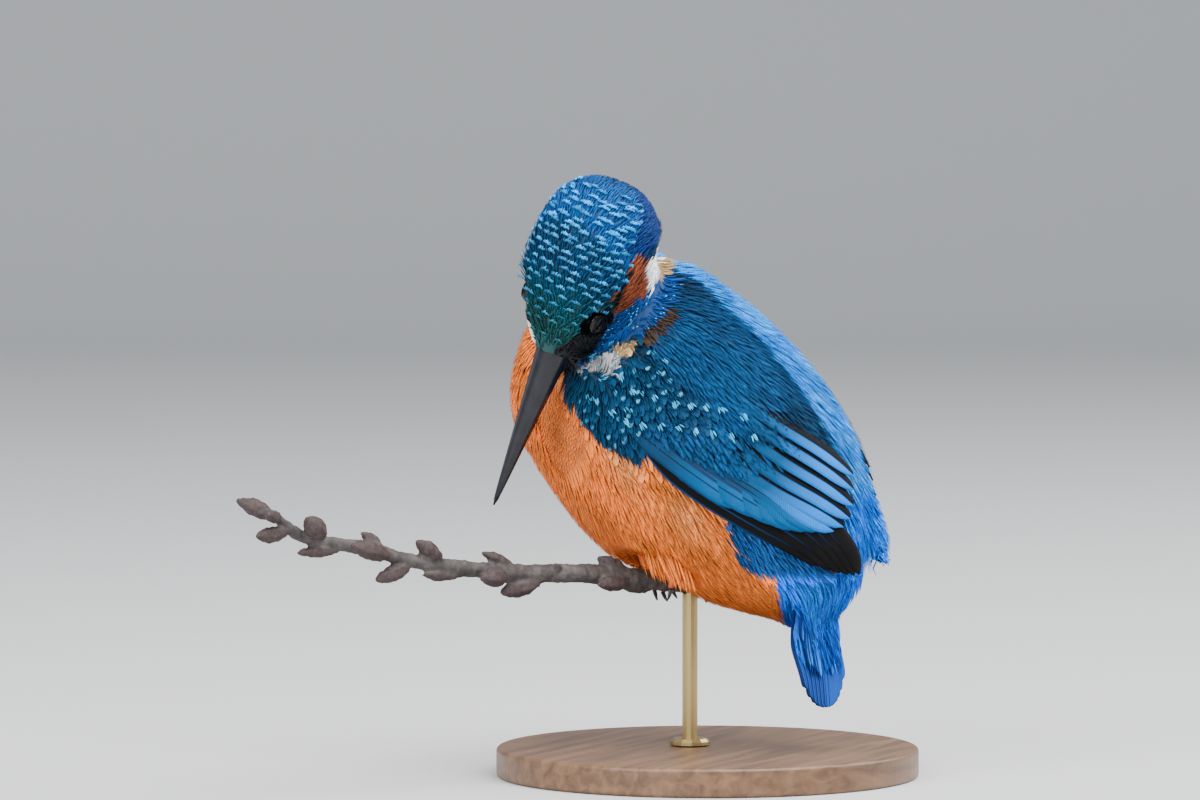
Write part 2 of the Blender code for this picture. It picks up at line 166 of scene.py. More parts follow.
def head_matrix():
    """From the head's frame, in metres, to the part's frame."""
    turn, bow, roll = (math.radians(a) for a in (HEAD_TURN, HEAD_BOW, HEAD_ROLL))
    level = Vector((math.sin(turn), -math.cos(turn), 0))
    bill = level * math.cos(bow) - Vector((0, 0, math.sin(bow)))
    crown = level * math.sin(bow) + Vector((0, 0, math.cos(bow)))
    crown.rotate(Matrix.Rotation(roll, 3, bill))
    matrix = Matrix((bill, crown.cross(bill), crown)).transposed().to_4x4()
    return Matrix.Translation(at(*HEAD_MIDDLE)) @ matrix


HEAD = head_matrix()
HEAD_BACK = np.array(HEAD.inverted())


def to_head(points):
    """Points in the part's frame as rows of x, y and z in the head's frame, in millimetres."""
    return (points @ HEAD_BACK[:3, :3].T + HEAD_BACK[:3, 3]) / MM


print("tip of the bill at", [round(v / MM, 1) for v in HEAD @ Vector((54 * MM, 0, -1.6 * MM))])

# %% [markdown]
# ## Camera
# The camera stands to the bird's left and a little behind it, level with its body. A long lens from far
# away keeps the bill and the tail at one scale, as a watcher's telescope shows them.

# %% Camera
VIEW_WIDTH = 250.0  # millimetres across the view at the bird
VIEW_RIGHT, VIEW_UP = -18.75, 38.125  # from the grip to the middle of the view
LENS, SENSOR = 200.0, 36.0
AZIMUTH, ELEVATION = 115.0, 3.0


def view_axes(azimuth, elevation):
    """Directions towards the viewer, to the right and up, for a view from this azimuth and elevation."""
    a, e = math.radians(azimuth), math.radians(elevation)
    back = Vector((math.sin(a) * math.cos(e), -math.cos(a) * math.cos(e), math.sin(e)))
    right = Vector((math.cos(a), math.sin(a), 0))
    return back, right, back.cross(right)


def make_camera():
    back, right, up = view_axes(AZIMUTH, ELEVATION)
    lens = bpy.data.cameras.new("camera")
    lens.lens = LENS
    lens.sensor_width = SENSOR
    lens.clip_start = 0.05
    lens.clip_end = 20.0
    camera = bpy.data.objects.new("camera", lens)
    bpy.context.scene.collection.objects.link(camera)
    target = GRIP + right * (VIEW_RIGHT * MM) + up * (VIEW_UP * MM)
    distance = VIEW_WIDTH * MM / (SENSOR / LENS)
    turn = (-back).to_track_quat("-Z", "Y")
    camera.matrix_world = Matrix.Translation(target + back * distance) @ turn.to_matrix().to_4x4()
    bpy.context.scene.camera = camera
    print("camera", round(distance, 3), "metres from the bird")


make_camera()

# %% [markdown]
# ## Tools for finishes
# Every surface gets a finish of its own, built from a Principled shader and a few nodes. A small helper
# for each kind of node keeps the finishes below short, so that a reader sees what a surface is made of.


# %% Tools for finishes
def finish(name, base, roughness, **sockets):
    """A material with its own shader's plain values: returns it with its node tree and shader."""
    material = bpy.data.materials.new(name)
    material.use_nodes = True
    shader = material.node_tree.nodes["Principled BSDF"]
    shader.inputs["Base Color"].default_value = (*base, 1.0)
    shader.inputs["Roughness"].default_value = roughness
    for socket, value in sockets.items():
        shader.inputs[socket.replace("_", " ")].default_value = value
    return material, material.node_tree, shader


def node(tree, kind, inputs=(), **settings):
    """A shader node with its settings, and its inputs given as values or as sockets to link."""
    made = tree.nodes.new("ShaderNode" + kind)
    for key, value in settings.items():
        setattr(made, key, value)
    for key, value in dict(inputs).items():
        if isinstance(value, bpy.types.NodeSocket):
            tree.links.new(value, made.inputs[key])
        else:
            made.inputs[key].default_value = value
    return made


def maths(tree, operation, *values):
    """A sum or the like on one or two values or sockets."""
    return node(tree, "Math", dict(enumerate(values)), operation=operation).outputs[0]


def spread(tree, value, start, end, low=0.0, high=1.0):
    """A value that runs from start to end, brought to run from low to high."""
    limits = {"From Min": start, "From Max": end, "To Min": low, "To Max": high}
    return node(tree, "MapRange", {"Value": value, **limits}).outputs[0]


def noise(tree, place, scale, detail, **more):
    return node(tree, "TexNoise", {"Vector": place, "Scale": scale, "Detail": detail, **more}).outputs["Fac"]


def object_place(tree):
    return node(tree, "TexCoord").outputs["Object"]


print("nodes for values ready")

# %% [markdown]
# Colours need three more helpers: a ramp that turns a value into a colour, a mix of two colours, and a bump
# that makes fine relief without more mesh.


# %% Tools for colours and relief
def ramp(tree, factor, stops):
    """A colour ramp through (place, colour) stops."""
    made = node(tree, "ValToRGB", {0: factor})
    band = made.color_ramp
    for number, (place, colour) in enumerate(stops):
        stop = band.elements[number] if number < 2 else band.elements.new(place)
        stop.position = place
        stop.color = (*colour, 1.0)
    return made.outputs["Color"]


def mix(tree, factor, first, second, way="MIX"):
    """Two colours mixed, each a colour or a socket."""
    made = node(tree, "Mix", data_type="RGBA", blend_type=way)
    for socket, value in (("Factor_Float", factor), ("A_Color", first), ("B_Color", second)):
        target = next(s for s in made.inputs if s.identifier == socket)
        if isinstance(value, bpy.types.NodeSocket):
            tree.links.new(value, target)
        else:
            target.default_value = value
    return next(s for s in made.outputs if s.identifier == "Result_Color")


def bump(tree, shader, height, strength, distance):
    """Fine relief from a height pattern, distance in metres."""
    made = node(tree, "Bump", {"Height": height, "Strength": strength, "Distance": distance})
    tree.links.new(made.outputs["Normal"], shader.inputs["Normal"])


print("nodes for colours ready")

# %% [markdown]
# ## Floor
# A museum often shows a thing on a sheet of pale card that curves up behind it, so no edge shows.
# The floor is one strip, pushed out edge by edge: far along the ground, round a quarter turn, then up.

# %% Floor
FLOOR_HALF, FLOOR_DEPTH, WALL_HEIGHT = 3.0, 5.0, 3.0  # metres
CURVE_STEPS, CURVE_STEP = 12, 0.12


def make_floor():
    """A pale floor with a wall that it curves up into, far behind."""
    shape = bmesh.new()
    ends = [shape.verts.new((side * FLOOR_HALF, -FLOOR_HALF, 0.0)) for side in (-1, 1)]
    shape.edges.new(ends)
    edges = shape.edges[:]
    moves = [Vector((0, FLOOR_DEPTH, 0))]
    for step in range(CURVE_STEPS):
        angle = math.radians(90 * step / CURVE_STEPS)
        moves.append(Vector((0, math.cos(angle), math.sin(angle))) * CURVE_STEP)
    moves.append(Vector((0, 0, WALL_HEIGHT)))
    for move in moves:
        grown = bmesh.ops.extrude_edge_only(shape, edges=edges)["geom"]
        new = [item for item in grown if isinstance(item, bmesh.types.BMVert)]
        bmesh.ops.translate(shape, verts=new, vec=move)
        edges = [e for e in grown if isinstance(e, bmesh.types.BMEdge) and all(v in new for v in e.verts)]
    away = Matrix.Rotation(math.radians(AZIMUTH), 3, "Z")
    bmesh.ops.rotate(shape, verts=shape.verts, cent=(0, 0, 0), matrix=away)
    bmesh.ops.recalc_face_normals(shape, faces=shape.faces)
    mesh = bpy.data.meshes.new("floor")
    shape.to_mesh(mesh)
    shape.free()
    mesh.shade_smooth()
    floor = bpy.data.objects.new("floor", mesh)
    bpy.context.scene.collection.objects.link(floor)
    mesh.materials.append(finish("pale_floor", (0.50, 0.50, 0.50), 0.8)[0])
    floor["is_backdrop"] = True
    print("floor", len(mesh.polygons), "faces")


make_floor()

# %% [markdown]
# ## Lamps
# Three large soft lamps and a pale sky give the even light of a museum case. The strongest stands
# overhead, one fills the near side, and one behind puts a rim of light on the back.


# %% Lamps
def lamp(name, azimuth, elevation, distance, size, power):
    """A soft square lamp that faces the bird from this side."""
    back = view_axes(azimuth, elevation)[0]
    light = bpy.data.lights.new(name, "AREA")
    light.size = size
    light.energy = power
    thing = bpy.data.objects.new(name, light)
    bpy.context.scene.collection.objects.link(thing)
    turn = back.to_track_quat("Z", "Y").to_matrix().to_4x4()
    thing.matrix_world = Matrix.Translation(GRIP + Vector((0, 0, 0.02)) + back * distance) @ turn


lamp("overhead", 150, 62, 1.1, 1.0, 35.0)
lamp("front_left", 75, 28, 1.2, 0.8, 17.0)
lamp("behind", 230, 35, 1.3, 0.9, 14.0)
sky = bpy.data.worlds.new("sky")
sky.use_nodes = True
sky.node_tree.nodes["Background"].inputs["Color"].default_value = (0.8, 0.86, 0.93, 1)
sky.node_tree.nodes["Background"].inputs["Strength"].default_value = 0.85
bpy.context.scene.world = sky
print("lamps", len(bpy.data.lights))

# %% [markdown]
# ## Skin
# Under the plumage a bird is all one skin. The solids of head, neck, trunk, wings and tail are merged
# into one volume with a voxel remesh, which also closes the thin gaps between them. The merged shape is
# smoothed and drawn inwards by the depth of the plumage, less where the body is thin, so that feathers
# laid over it bring the bird back to its full size.

# %% Copies of the solids
FLESH = ("trunk", "neck", "head", "wing_left", "wing_right", "tail")


def add(name, mesh, material, slot, *replaced):
    """Puts a finished mesh in the scene as a piece of the bird."""
    piece = bpy.data.objects.new(name, mesh)
    bpy.context.scene.collection.objects.link(piece)
    mesh.materials.append(material)
    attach(piece, "root")
    if replaced:
        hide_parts(*replaced)
    return piece


def solid_copy(names, swell):
    """The meshes of these nodes, joined, each a little larger all round."""
    whole = bmesh.new()
    for name in names:
        part = bmesh.new()
        part.from_mesh(nodes[name].data)
        bmesh.ops.remove_doubles(part, verts=part.verts, dist=1e-6)
        part.normal_update()
        for vertex in part.verts:
            vertex.co += vertex.normal * swell
        mesh = bpy.data.meshes.new(name + "_copy")
        part.to_mesh(mesh)
        part.free()
        whole.from_mesh(mesh)
        bpy.data.meshes.remove(mesh)
    mesh = bpy.data.meshes.new("copy")
    whole.to_mesh(mesh)
    whole.free()
    return mesh


def remeshed(mesh, voxel, rounds):
    """One smooth closed mesh round everything in this one."""
    holder = bpy.data.objects.new("holder", mesh)
    bpy.context.scene.collection.objects.link(holder)
    step = holder.modifiers.new("remesh", "REMESH")
    step.mode = "VOXEL"
    step.voxel_size = voxel
    step = holder.modifiers.new("smooth", "SMOOTH")
    step.iterations = rounds
    step.factor = 0.5
    graph = bpy.context.evaluated_depsgraph_get()
    made = bpy.data.meshes.new_from_object(holder.evaluated_get(graph))
    bpy.data.objects.remove(holder)
    bpy.data.meshes.remove(mesh)
    return made


print("flesh", ", ".join(FLESH))

# %% [markdown]
# The plumage is thin on the face and thick on the body, so the skin lies at different depths. At each eye
# it is drawn in a little more, which leaves a shallow socket for the ball.

# %% Skin
SKIN_VOXEL, SKIN_SWELL = 0.75 * MM, 0.3 * MM
THIN_SHARE = 0.36  # of a thin place's thickness, the most that the skin is drawn in


def coat_depth(points):
    """How far the skin lies under the tips of the plumage, in millimetres."""
    head = to_head(points)
    from_bill = np.clip((20.0 - head[:, 0]) / 14.0, 0.0, 1.0)
    on_head = np.linalg.norm((head - (-2.0, 0.0, HEAD_AXIS)) / (20.0, 14.0, 14.0), axis=1) < 1.15
    from_eye = np.hypot(head[:, 0] - EYE_PLACE[0], head[:, 2] - EYE_PLACE[2])
    socket = 0.7 * np.exp(-((from_eye / 2.2) ** 4)) * (np.abs(head[:, 1]) > 6)
    return np.where(on_head, 0.35 + 0.45 * from_bill, 1.25) + socket


def draw_in(shape):
    """Moves each point of the skin inwards by the coat's depth there."""
    tree = BVHTree.FromBMesh(shape)
    wanted = coat_depth(np.array([v.co for v in shape.verts])) * MM + SKIN_SWELL
    moves = []
    for vertex, depth in zip(shape.verts, wanted):
        hit = tree.ray_cast(vertex.co - vertex.normal * 0.02 * MM, -vertex.normal)
        thickness = hit[3] if hit[3] is not None else 1.0
        moves.append(min(depth, THIN_SHARE * thickness))
    for vertex, move in zip(shape.verts, np.array(moves)):
        vertex.co -= vertex.normal * move


def make_skin():
    mesh = remeshed(solid_copy(FLESH, SKIN_SWELL), SKIN_VOXEL, 6)
    shape = bmesh.new()
    shape.from_mesh(mesh)
    shape.normal_update()
    draw_in(shape)
    for turn in range(3):
        bmesh.ops.smooth_vert(
            shape, verts=shape.verts, factor=0.4, use_axis_x=True, use_axis_y=True, use_axis_z=True
        )
    bmesh.ops.recalc_face_normals(shape, faces=shape.faces)
    shape.to_mesh(mesh)
    shape.free()
    mesh.name = "skin"
    mesh.shade_smooth()
    return mesh


skin_mesh = make_skin()
print("skin", len(skin_mesh.polygons), "faces")

# %% [markdown]
# ## An unwrap of the skin
# Every tuft will take its baked colour from a small patch of a map. That map is an unwrap of the skin's
# own shape, cut into islands where the shape turns, so that neighbours on the bird stay neighbours on the
# map.

# %% Unwrap
BAKE_MAP = "OFBake"


def unwrap(mesh):
    """Unwraps a mesh into islands on a map with the bake's name."""
    holder = bpy.data.objects.new("holder", mesh)
    bpy.context.scene.collection.objects.link(holder)
    mesh.uv_layers.active = mesh.uv_layers.new(name=BAKE_MAP)
    bpy.context.view_layer.objects.active = holder
    holder.select_set(True)
    bpy.ops.object.mode_set(mode="EDIT")
    bpy.ops.mesh.select_all(action="SELECT")
    bpy.ops.uv.smart_project(angle_limit=math.radians(60), island_margin=0.004)
    bpy.ops.object.mode_set(mode="OBJECT")
    bpy.data.objects.remove(holder)


unwrap(skin_mesh)
skin_map = np.empty(len(skin_mesh.loops) * 2, np.float32)
skin_mesh.uv_layers[BAKE_MAP].data.foreach_get("uv", skin_map)
skin_map = skin_map.reshape(-1, 2)
first_loop = np.empty(len(skin_mesh.polygons), np.int32)
skin_mesh.polygons.foreach_get("loop_start", first_loop)
print("unwrapped", len(skin_map), "corners")

# %% [markdown]
# ## Places on the body
# To paint and to lay feathers, each point of the skin must know where on the bird it is. On the trunk
# that is the place and the angle.

# %% Places on the body
BODY_FALL = math.radians(50.0)
TAILWARD = np.array((0.0, math.cos(BODY_FALL), -math.sin(BODY_FALL)))


def from_grip(points):
    """Points as rows of millimetres from the grip."""
    return (points - np.array(GRIP)) / MM


def inside_section(points, section):
    """Across and out from the trunk's line, as shares of the section's half width and half depth."""
    forward, up, depth, width, slope = section
    local, fall = from_grip(points), np.radians(slope)
    out = -(-local[:, 1] - forward) * np.sin(fall) + (local[:, 2] - up) * np.cos(fall)
    return local[:, 0] / width, out / depth


def places_on_body(points):
    """The place along the trunk and the angle round it, for each point."""
    steps = np.arange(81) / 10
    table = np.array([smooth_row(TRUNK, step) for step in steps])
    middles = np.stack((np.zeros(81), -table[:, 0], table[:, 1]), 1)
    place = np.interp(from_grip(points) @ TAILWARD, middles @ TAILWARD, steps)
    across, out = inside_section(points, [np.interp(place, steps, table[:, i]) for i in range(5)])
    return place, np.degrees(np.arctan2(across, out))


def off_trunk(points):
    """How far out each point lies, as a share of the trunk's own half width and depth there."""
    place = places_on_body(points)[0]
    rows = np.array(TRUNK)
    across, out = inside_section(points, [np.interp(place, range(9), rows[:, i]) for i in range(5)])
    return np.hypot(across, out)


centres = np.array([p.center for p in skin_mesh.polygons])
print("places run to", round(float(places_on_body(centres)[0].max()), 2), "along the trunk")

# %% [markdown]
# ## Places on the head
# On the head it is x along the bill and the angle round from the crown, and for the markings of the left
# face also q, which runs from the crown to the cheek as seen from the left rear. The borders of markings
# waver a little on a real bird, so a smooth wandering value is needed as well.

# %% Places on the head
LEAN = math.radians(24.0)  # how far below straight sideways q is measured


def places_on_head(points):
    """Along the bill, degrees round from crown to chin, q, distance from the head's axis, and which side."""
    x, y, z = to_head(points).T
    side = np.abs(y)
    round_it = np.degrees(np.arctan2(side, z - HEAD_AXIS))
    q = side * math.cos(LEAN) - z * math.sin(LEAN)
    return x, round_it, q, np.hypot(side, z - HEAD_AXIS), np.sign(y)


def within(x, y, outline):
    """Whether each point lies inside a closed outline."""
    inside = np.zeros(len(x), bool)
    for (x0, y0), (x1, y1) in zip(outline, outline[1:] + outline[:1]):
        crosses = (y0 > y) != (y1 > y)
        inside ^= crosses & (x < (x1 - x0) * (y - y0) / (y1 - y0 + 1e-9) + x0)
    return inside


def unsteady(points, seed, count=5, size=9.0):
    """A smooth wandering value of about -1 to 1 at each point, from waves of about this many millimetres."""
    draw = np.random.default_rng(seed)
    total = np.zeros(len(points))
    for wave in range(count):
        way = draw.normal(size=3)
        way /= np.linalg.norm(way)
        length = size * MM * draw.uniform(0.6, 1.5)
        total += np.sin(points @ way / length * math.tau + draw.uniform(0, math.tau))
    return total / count**0.5


left_eye = np.array([HEAD @ (Vector(EYE_PLACE) * MM)])
print("x, angle and q at the left eye", [round(float(v[0]), 1) for v in places_on_head(left_eye)[:3]])

# %% [markdown]
# ## The markings
# One function names the marking at any point, so skin and feathers agree. Each marking has one colour.
# The blues hold almost no red, because strong light would turn them pale.

# %% Colours of the markings
COLOURS = {
    "orange": (0.96, 0.24, 0.04),
    "rufous": (0.24, 0.06, 0.025),
    "crown": (0.003, 0.048, 0.13),
    "nape": (0.003, 0.075, 0.27),
    "black": (0.008, 0.010, 0.014),
    "white": (0.95, 0.94, 0.95),
    "buff": (0.52, 0.33, 0.15),
    "brown": (0.05, 0.03, 0.02),
    "malar": (0.002, 0.065, 0.27),
    "mantle": (0.004, 0.065, 0.19),
    "wing": (0.002, 0.040, 0.11),
    "azure": (0.004, 0.28, 0.85),
    "rump": (0.003, 0.24, 0.95),
    # the vent's own browner orange, made darker still as painted shade on the underside
    "vent": (0.36, 0.13, 0.05),
    "flank": (0.008, 0.06, 0.20),
    "cobalt": (0.002, 0.025, 0.14),
    "tail": (0.0, 0.16, 0.85),
    "quill": (0.005, 0.005, 0.008),
}
KINDS = list(COLOURS)
COLOUR_TABLE = np.array([COLOURS[kind] for kind in KINDS])


def is_kind(kind, *names):
    """Which of these numbers stand for one of the markings named."""
    return np.isin(kind, [KINDS.index(name) for name in names])


print("markings", len(KINDS))

# %% [markdown]
# The face has the finest pattern: rufous ear, white neck patch, black line through the eye, and a blue
# stripe from the bill down the cheek. Each is an outline in x and q, with only the corners that its shape
# needs.

# %% Outlines of the left face
EAR = [(-5.6, 10.2), (-5.9, 11.5), (-3.5, 12.0), (-0.6, 13.1), (1.4, 14.1), (4.3, 11.4), (6.7, 10.4)]
EAR += [(2.7, 9.4), (-0.5, 9.6)]
NECK_WHITE = [(-4.9, 11.8), (-7.9, 12.6), (-5.2, 14.1), (-2.5, 15.3), (-1.2, 15.4), (1.3, 14.5), (-1.1, 12.8)]
NECK_BUFF = [(-5.2, 14.1), (-5.6, 15.8), (-4.4, 17.3), (-2.4, 17.4), (-1.1, 15.7), (-2.5, 15.3)]
# Near the bill the lore's outline also covers the pale loral spot, which is painted black there as painted
# shade.
LORE = [(18.8, 0.9), (15.2, 4.1), (11.0, 6.2), (6.7, 8.0), (3.0, 8.1), (-3.0, 9.1), (-3.0, 9.8), (1.7, 9.4)]
LORE += [(3.1, 9.7), (7.4, 9.8), (12.7, 8.8), (16.6, 7.9), (21.3, 6.0), (24.7, 5.0), (21.9, 3.0)]
MALAR = [(21.3, 6.0), (16.6, 7.9), (12.1, 8.9), (7.4, 9.7), (4.3, 11.4), (1.4, 14.1), (-1.3, 15.8)]
MALAR += [(-2.7, 18.7), (-1.9, 20.1), (1.8, 20.7), (6.0, 19.0), (9.9, 15.5), (14.2, 11.0), (17.1, 9.1)]
THROAT = [(24.7, 5.0), (22.1, 6.3), (18.6, 8.6), (16.5, 9.9), (15.2, 10.9), (14.8, 13.1), (16.0, 14.4)]
THROAT += [(18.0, 14.2), (19.3, 12.6), (19.4, 10.5), (21.6, 7.7), (24.1, 5.5)]
THROAT_BUFF = [(14.0, 11.9), (10.7, 15.8), (11.9, 16.8), (14.3, 15.4), (15.6, 14.0), (15.2, 12.4)]
SHOULDER = [(10.7, 15.6), (6.0, 18.7), (2.4, 20.5), (3.2, 22.2), (7.4, 20.6), (11.3, 17.8)]
# x along the bill, and how far round the head the crown reaches there, in degrees
CROWN_EDGE = (
    (-18, 180), (-14, 130), (-11, 105), (-9, 99), (-7.2, 88), (-6.2, 70), (-5, 66),
    (-1.4, 66), (3, 60), (7.4, 61), (10.8, 54), (14.5, 47), (18.1, 31), (20, 27),
)


def paint_head(paint, points):
    """The markings of the head: the right side and the eye stripes, then the left side, then the crown."""
    x, round_it, q, off, side = places_on_head(points)
    x = x + 0.3 * unsteady(points, 53, size=4)
    q = q + 0.3 * unsteady(points, 54, size=4)
    round_it = round_it + 2.0 * unsteady(points, 55, size=4)
    left = side > 0
    skull = (np.abs(x + 0.5) < 21.5) & (off < 15.0)
    bare = skull & ~left
    throat_edge = np.interp(x, (3, 10, 22), (112, 118, 108))
    malar_edge = np.interp(x, (-4, 1, 9, 21), (88, 116, 122, 96))
    ear_edge = np.where(left, 84, np.interp(x, (-7.5, -2, 4, 8.2), (86, 99, 100, 84)))
    lore_edge = np.interp(x, (4, 10, 13, 20.5), (63, 78, 86, 90))
    paint(bare & (x < 2) & (round_it > 90), "mantle")
    paint(bare & (round_it > throat_edge) & (x > 3) & (x < 22), "white")
    paint(bare & (round_it > 78) & (round_it < malar_edge) & (x < 21), "malar")
    paint(bare & (((x + 8.0) / 5.0) ** 2 + ((round_it - 106) / 25) ** 2 < 1), "white")
    paint(skull & (round_it < ear_edge) & (x < 8.2) & (x > -7.5), "rufous")
    paint(skull & (round_it < lore_edge) & (x > 4), "black")
    # The pale loral spot is painted on the right side only. On the left it lies in shade, and the black of
    # the lore covers it as painted shade.
    paint(bare & (((x - 18.6) / 3.0) ** 2 + ((round_it - 62) / 22) ** 2 < 1), "white")
    lit = left & (round_it > 30) & (round_it < 175) & (off < 24)
    paint(lit & within(x, q, SHOULDER), "brown")
    paint(lit & within(x, q, THROAT_BUFF), "buff")
    paint(lit & within(x, q, THROAT), "white")
    paint(lit & within(x, q, NECK_BUFF), "buff")
    paint(lit & within(x, q, NECK_WHITE), "white")
    paint(lit & within(x, q, EAR) & (off < 17), "rufous")
    paint(lit & within(x, q, LORE) & (off < 13), "black")
    paint(lit & within(x, q, MALAR), "malar")
    edge = column(CROWN_EDGE, 1, x)
    cap = skull & (round_it < edge)
    paint(cap & (off < np.where(x < 2, 17.0, 14.5)) & (x > -30), "crown")
    paint(cap & (x < -9.5 + 0.1 * round_it), "nape")
    paint(cap & (round_it > 66 - 2.2 * (x + 12)) & (x < -6.0), "cobalt")


print("corners of the face's outlines", sum(map(len, (EAR, LORE, MALAR, THROAT, NECK_WHITE))))

# %% [markdown]
# On the body the markings follow the place and the angle: blue wings and mantle, a brighter stripe down
# the back that widens to the rump, and orange for all that is left. The borders wander a little, as
# feathers do.

# %% Markings of the body
# place along the trunk, and how far round it each marking reaches, in degrees
SHOULDER_EDGE = ((0, 60), (1.2, 78), (2.4, 104))
LOW_BACK_EDGE = ((5.15, 88), (5.6, 100), (6.4, 92), (7.5, 70))
STRIPE_EDGE = ((1.5, 22), (2.2, 13), (3.5, 12), (5.0, 14), (5.6, 29), (6.4, 58))
VENT_EDGE = ((6.3, 80), (7.5, 62))
RIGHT_STRIPE = 15.0  # how much further the stripe reaches on the right, where the bird's twist shows more
# distance aft, seen from the left rear, and height above the grip
FLANK = [(7.3, 12.4), (9.0, 8.0), (11.2, 4.8), (14.0, 3.6), (17.6, 3.0), (30.0, 3.0), (30.0, 25.0)]
FLANK += [(7.3, 25.0)]
REAR_VIEW = (0.906, 0.423)  # cosine and sine of 25 degrees, the turn of that view from the side


def paint_body(paint, points):
    """The markings of back, wings, flanks, rump and tail."""
    place, angle = places_on_body(points)
    place = place + 0.05 * unsteady(points, 51, size=5)
    angle = angle + 1.6 * unsteady(points, 52, size=6)
    around = np.abs(angle)
    wing_edge = np.where(place < 2.4, column(SHOULDER_EDGE, 1, place), column(WING, 2, place) + 1)
    paint(around < wing_edge, "wing")
    paint((around < 62) & (place < 4.2), "mantle")
    paint((place > 5.15) & (around < column(LOW_BACK_EDGE, 1, place)), "mantle")
    stripe = column(STRIPE_EDGE, 1, place) + np.where((angle < 0) & (place > 2.2), RIGHT_STRIPE, 0.0)
    paint(around < stripe, "azure")
    paint((around < stripe) & (place > 5.4), "rump")
    paint((place > 6.3) & (around >= column(VENT_EDGE, 1, place)), "vent")
    local = from_grip(points)
    aft = REAR_VIEW[0] * local[:, 1] - REAR_VIEW[1] * np.abs(local[:, 0])
    level = local[:, 2]
    paint(within(aft, level, FLANK) & (place > 4.4) & (around > 40), "flank")
    behind_vent = aft > 17.5 + (2.9 - level) * 0.128
    paint(behind_vent & (level < 3.5) & (place > 5.5), "tail")
    paint((level < 2.0) & (level > -7.0) & (-local[:, 1] < -29.5), "rump")
    under_tip = (place > 5.7) & (place < 6.75) & (around < 80) & (around > 12)
    paint(under_tip & (off_trunk(points) > 1.09), "quill")


def kinds_at(points):
    """The number in KINDS of the marking at each point."""
    kind = np.full(len(points), KINDS.index("orange"))

    def paint(where, name):
        kind[where] = KINDS.index(name)

    paint_body(paint, points)
    paint_head(paint, points)
    return kind


print("faces of each marking", np.bincount(kinds_at(centres), minlength=len(KINDS)).tolist())

# %% [markdown]
# No plumage is one flat colour. The orange pales along the flanks and darkens at the front, and towards the
# vent it darkens as painted shade. The crown turns green towards the bill, the shoulders are dull, mantle and
# wing near the neck carry a painted shadow from the head, and the blue stripe is brighter in streaks.

# %% Shades within the markings
PALE_ORANGE = np.array((0.86, 0.52, 0.22))
GREEN_CROWN = np.array((0.008, 0.085, 0.088))
DULL_WING = np.array((0.008, 0.062, 0.10))
BRIGHT_AZURE = np.array((0.05, 0.46, 1.0))
SHADED_THROAT = 0.55  # the white throat lies in the shade of the bill


def blend(colour, where, share, other):
    """Mixes another colour into the chosen rows, by each row's share."""
    share = share[where, None]
    colour[where] = colour[where] * (1 - share) + other * share


def plumage(points):
    """The colour of the plumage at each point, and the number of its marking."""
    kind = kinds_at(points)
    colour = COLOUR_TABLE[kind].copy()
    place, angle = places_on_body(points)
    around = np.abs(angle)
    x, side = places_on_head(points)[0], places_on_head(points)[4]
    orange = is_kind(kind, "orange")
    # Painted shade: the orange darkens by up to a fifth towards the vent, on the shaded underside; it is also
    # up to a tenth darker at the front of the breast.
    low = np.clip((place - 4.2) / 2.5, 0, 1)
    front = np.clip((2.6 - place) / 2.0, 0, 1)
    colour[orange] *= (1 - 0.2 * low - 0.1 * front)[orange, None]
    pale = np.clip(1 - np.abs(around - 100) / 13, 0, 1) * (place > 2.2) * (place < 5)
    pale *= 0.5 + 0.5 * unsteady(points, 3, size=12)
    blend(colour, orange, np.clip(pale, 0, 1) * 0.3, PALE_ORANGE)
    blend(colour, is_kind(kind, "crown"), np.clip(x / 14.0, 0, 1), GREEN_CROWN)
    blend(colour, is_kind(kind, "wing"), np.clip((3.6 - place) / 1.6, 0, 1) * 0.5, DULL_WING)
    # Painted shadow: mantle and wing darken towards the neck, where the head above them shades them.
    shoulder = is_kind(kind, "mantle", "wing")
    shade = 1 - 0.6 * np.clip((3.1 - place) / 0.8, 0, 1) * (around < 70)
    colour[shoulder] *= shade[shoulder, None]
    blend(colour, is_kind(kind, "azure"), 0.5 * (0.5 + 0.5 * unsteady(points, 8, size=14)), BRIGHT_AZURE)
    colour[is_kind(kind, "white") & (x > 10) & (side > 0)] *= SHADED_THROAT
    drift = 1 + 0.14 * unsteady(points, 5, size=10)
    return colour * drift[:, None], kind


SKIN_SHADE = 0.55  # the bases of feathers, which the skin stands for, are darker than their tips
vertices = np.array([v.co for v in skin_mesh.vertices])
tint, vertex_kind = plumage(vertices)
painted = np.hstack((tint * SKIN_SHADE, np.ones((len(tint), 1)))).astype(np.float32)
skin_mesh.color_attributes.new("tint", "FLOAT_COLOR", "POINT").data.foreach_set("color", painted.ravel())
print("skin painted with", len(np.unique(vertex_kind)), "markings")

# %% [markdown]
# ## One small feather
# All small feathers are copies of two blades. A blade starts as a cone with few sides, cut across at some
# places, so it is a closed solid. Each cut is then pinched to the feather's width there. The narrow blade
# stands for a lock of loose barbs, the broad one for a whole small feather with a round tip.

# %% Blades
UPRIGHT_CONE = Matrix.Translation((0, 0, 0.5))  # lifts a cone of height 1 on to its base


def cut_across(shape, heights):
    """Cuts a shape through at these heights, so that it can be bent and pinched there."""
    for height in heights:
        everything = shape.verts[:] + shape.edges[:] + shape.faces[:]
        bmesh.ops.bisect_plane(
            shape, geom=everything, plane_co=(0, 0, height), plane_no=(0, 0, 1), dist=1e-6
        )


